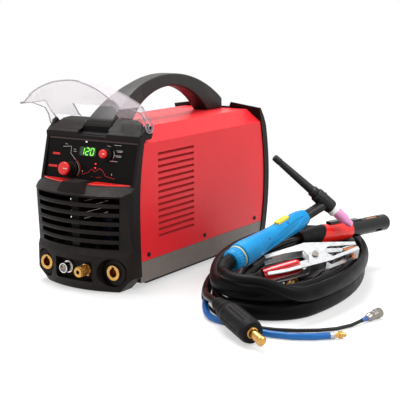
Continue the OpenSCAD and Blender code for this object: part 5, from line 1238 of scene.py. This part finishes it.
class WELDER_OT_stage(bpy.types.Operator):
    """Pale floor, soft lamps, even sky and the camera"""

    bl_idname = "welder.stage"
    bl_label = "Stage"

    def execute(self, context):
        scene, stage = context.scene, context.scene.welder_stage
        scene.view_settings.view_transform = "Standard"
        r = np.concatenate([[0.0], np.geomspace(*FLOOR_R, 24)])
        points, faces = sheet_of(rings(r[:, None], around(64), 0.0))
        mesh = bpy.data.meshes.new("floor")
        mesh.from_pydata((points * MM).tolist(), [], faces)
        floor = bpy.data.objects.new("floor", mesh)
        scene.collection.objects.link(floor)
        mesh.materials.append(material("studio_paper", studio_paper, stage.floor_glow))

        scene.world = bpy.data.worlds.new("studio")
        scene.world.use_nodes = True
        tree = scene.world.node_tree
        tree.nodes.clear()
        dim, bright = (add_node(tree, "Background", {}, {"Color": (1, 1, 1, 1), "Strength": strength})
                       for strength in (stage.sky, 1.0))
        both = add_node(tree, "MixShader", {}, {0: seen_rays(tree), 1: dim.outputs[0], 2: bright.outputs[0]})
        add_node(tree, "OutputWorld", {}, {"Surface": both.outputs[0]})

        for key, (at, size) in LAMPS.items():
            lamp = bpy.data.lights.new(key + "_lamp", "AREA")
            lamp.size = size
            lamp.energy = getattr(stage, key)
            held = bpy.data.objects.new(lamp.name, lamp)
            held.location = at
            held.rotation_mode = "QUATERNION"
            held.rotation_quaternion = (LIT_P - Vector(at)).to_track_quat("-Z", "Y")
            scene.collection.objects.link(held)

        lens = bpy.data.cameras.new("camera")
        lens.sensor_width = SENSOR
        lens.lens = FOCAL
        lens.clip_start, lens.clip_end = CLIP
        camera = bpy.data.objects.new("camera", lens)
        camera.location = CAMERA_P
        camera.rotation_mode = "QUATERNION"
        camera.rotation_quaternion = (AIM_P - CAMERA_P).to_track_quat("-Z", "Y") @ Quaternion((0, 0, 1), ROLL)
        scene.collection.objects.link(camera)
        scene.camera = camera
        return {"FINISHED"}


# Add-on


def colour(name, description, hex_text):
    """A colour that a user can change."""
    return bpy.props.FloatVectorProperty(
        name=name, description=description, subtype="COLOR", size=3, min=0, max=1,
        default=linear(hex_text)[:3])


def power(name, description, watts):
    """A lamp's power that a user can change."""
    return bpy.props.FloatProperty(
        name=name, description=description, default=watts, min=0, max=200, unit="POWER")


class WelderColours(bpy.types.PropertyGroup):
    """Colours of the main finishes"""

    paint: colour("Case paint", "Powder coat of the cover", "#D2222A")
    rail: colour("Base rail", "Powder coat of the base tray", "#6A615B")
    moulding: colour("Mouldings", "Front and rear mouldings", "#1A1412")
    grip: colour("Carry handle", "Grip of the carry handle", "#211E1D")
    accent: colour("Accent", "Knobs, trim, switch and holder shell", "#E0201A")
    handle_blue: colour("Torch handle", "Handle and collar of the torch", "#0C86C2")
    nozzle: colour("Nozzle", "Ceramic nozzle of the torch", "#DD8ABC")
    clear: colour("Clear cover", "Haze of the clear cover", "#D2C8CE")
    # a darker, denser haze for the cover's edges: painted shade
    clear_edge_shade: colour("Clear edge", "Edges of the clear cover", "#A39CA4")


class WelderSizes(bpy.types.PropertyGroup):
    """Sizes of the finish"""

    edge: bpy.props.FloatProperty(
        name="Moulded edge", description="Rounding of the mouldings' edges", default=1.1 * MM, min=0,
        max=3 * MM, subtype="DISTANCE", unit="LENGTH", precision=4)


class WelderStage(bpy.types.PropertyGroup):
    """Light of the stage"""

    sky: bpy.props.FloatProperty(
        name="Sky", description="Strength of the even light", default=0.36, min=0, max=2)
    key: power("Key", "Lamp at the right", 46)
    fill: power("Fill", "Lamp before the front", 18)
    top: power("Top", "Lamp overhead", 64)
    floor_glow: bpy.props.FloatProperty(
        name="Floor", description="Share of even white in the floor", default=0.5, min=0, max=1,
        subtype="FACTOR")


ORDER = ("stage", "cords", "casing", "front", "panel", "clear_cover", "handle", "rear", "inside", "torch",
         "clamp", "holder")


class WELDER_PT_panel(bpy.types.Panel):
    """Lists the pieces and what can be changed"""

    bl_idname = "WELDER_PT_panel"
    bl_label = "TIG welding machine"
    bl_space_type = "VIEW_3D"
    bl_region_type = "UI"
    bl_category = "Welder"

    def draw(self, context):
        for group in (context.scene.welder_colours, context.scene.welder_sizes, context.scene.welder_stage):
            for key in group.__annotations__:
                self.layout.prop(group, key)
        for name in ORDER:
            self.layout.operator("welder." + name)


CLASSES = (WelderColours, WelderSizes, WelderStage, WELDER_OT_stage, WELDER_OT_cords, WELDER_OT_casing,
           WELDER_OT_front, WELDER_OT_panel, WELDER_OT_clear_cover, WELDER_OT_handle, WELDER_OT_rear,
           WELDER_OT_inside, WELDER_OT_torch, WELDER_OT_clamp, WELDER_OT_holder, WELDER_PT_panel)


def register():
    """Adds the classes and the settings to Blender."""
    for cls in CLASSES:
        bpy.utils.register_class(cls)
    bpy.types.Scene.welder_colours = bpy.props.PointerProperty(type=WelderColours)
    bpy.types.Scene.welder_sizes = bpy.props.PointerProperty(type=WelderSizes)
    bpy.types.Scene.welder_stage = bpy.props.PointerProperty(type=WelderStage)


def unregister():
    """Takes them away again."""
    del bpy.types.Scene.welder_stage
    del bpy.types.Scene.welder_sizes
    del bpy.types.Scene.welder_colours
    for cls in reversed(CLASSES):
        bpy.utils.unregister_class(cls)


def main():
    """Registers the add-on and makes the pieces in order."""
    register()
    for name in ORDER:
        getattr(bpy.ops.welder, name)()


if __name__ == "__main__":
    main()
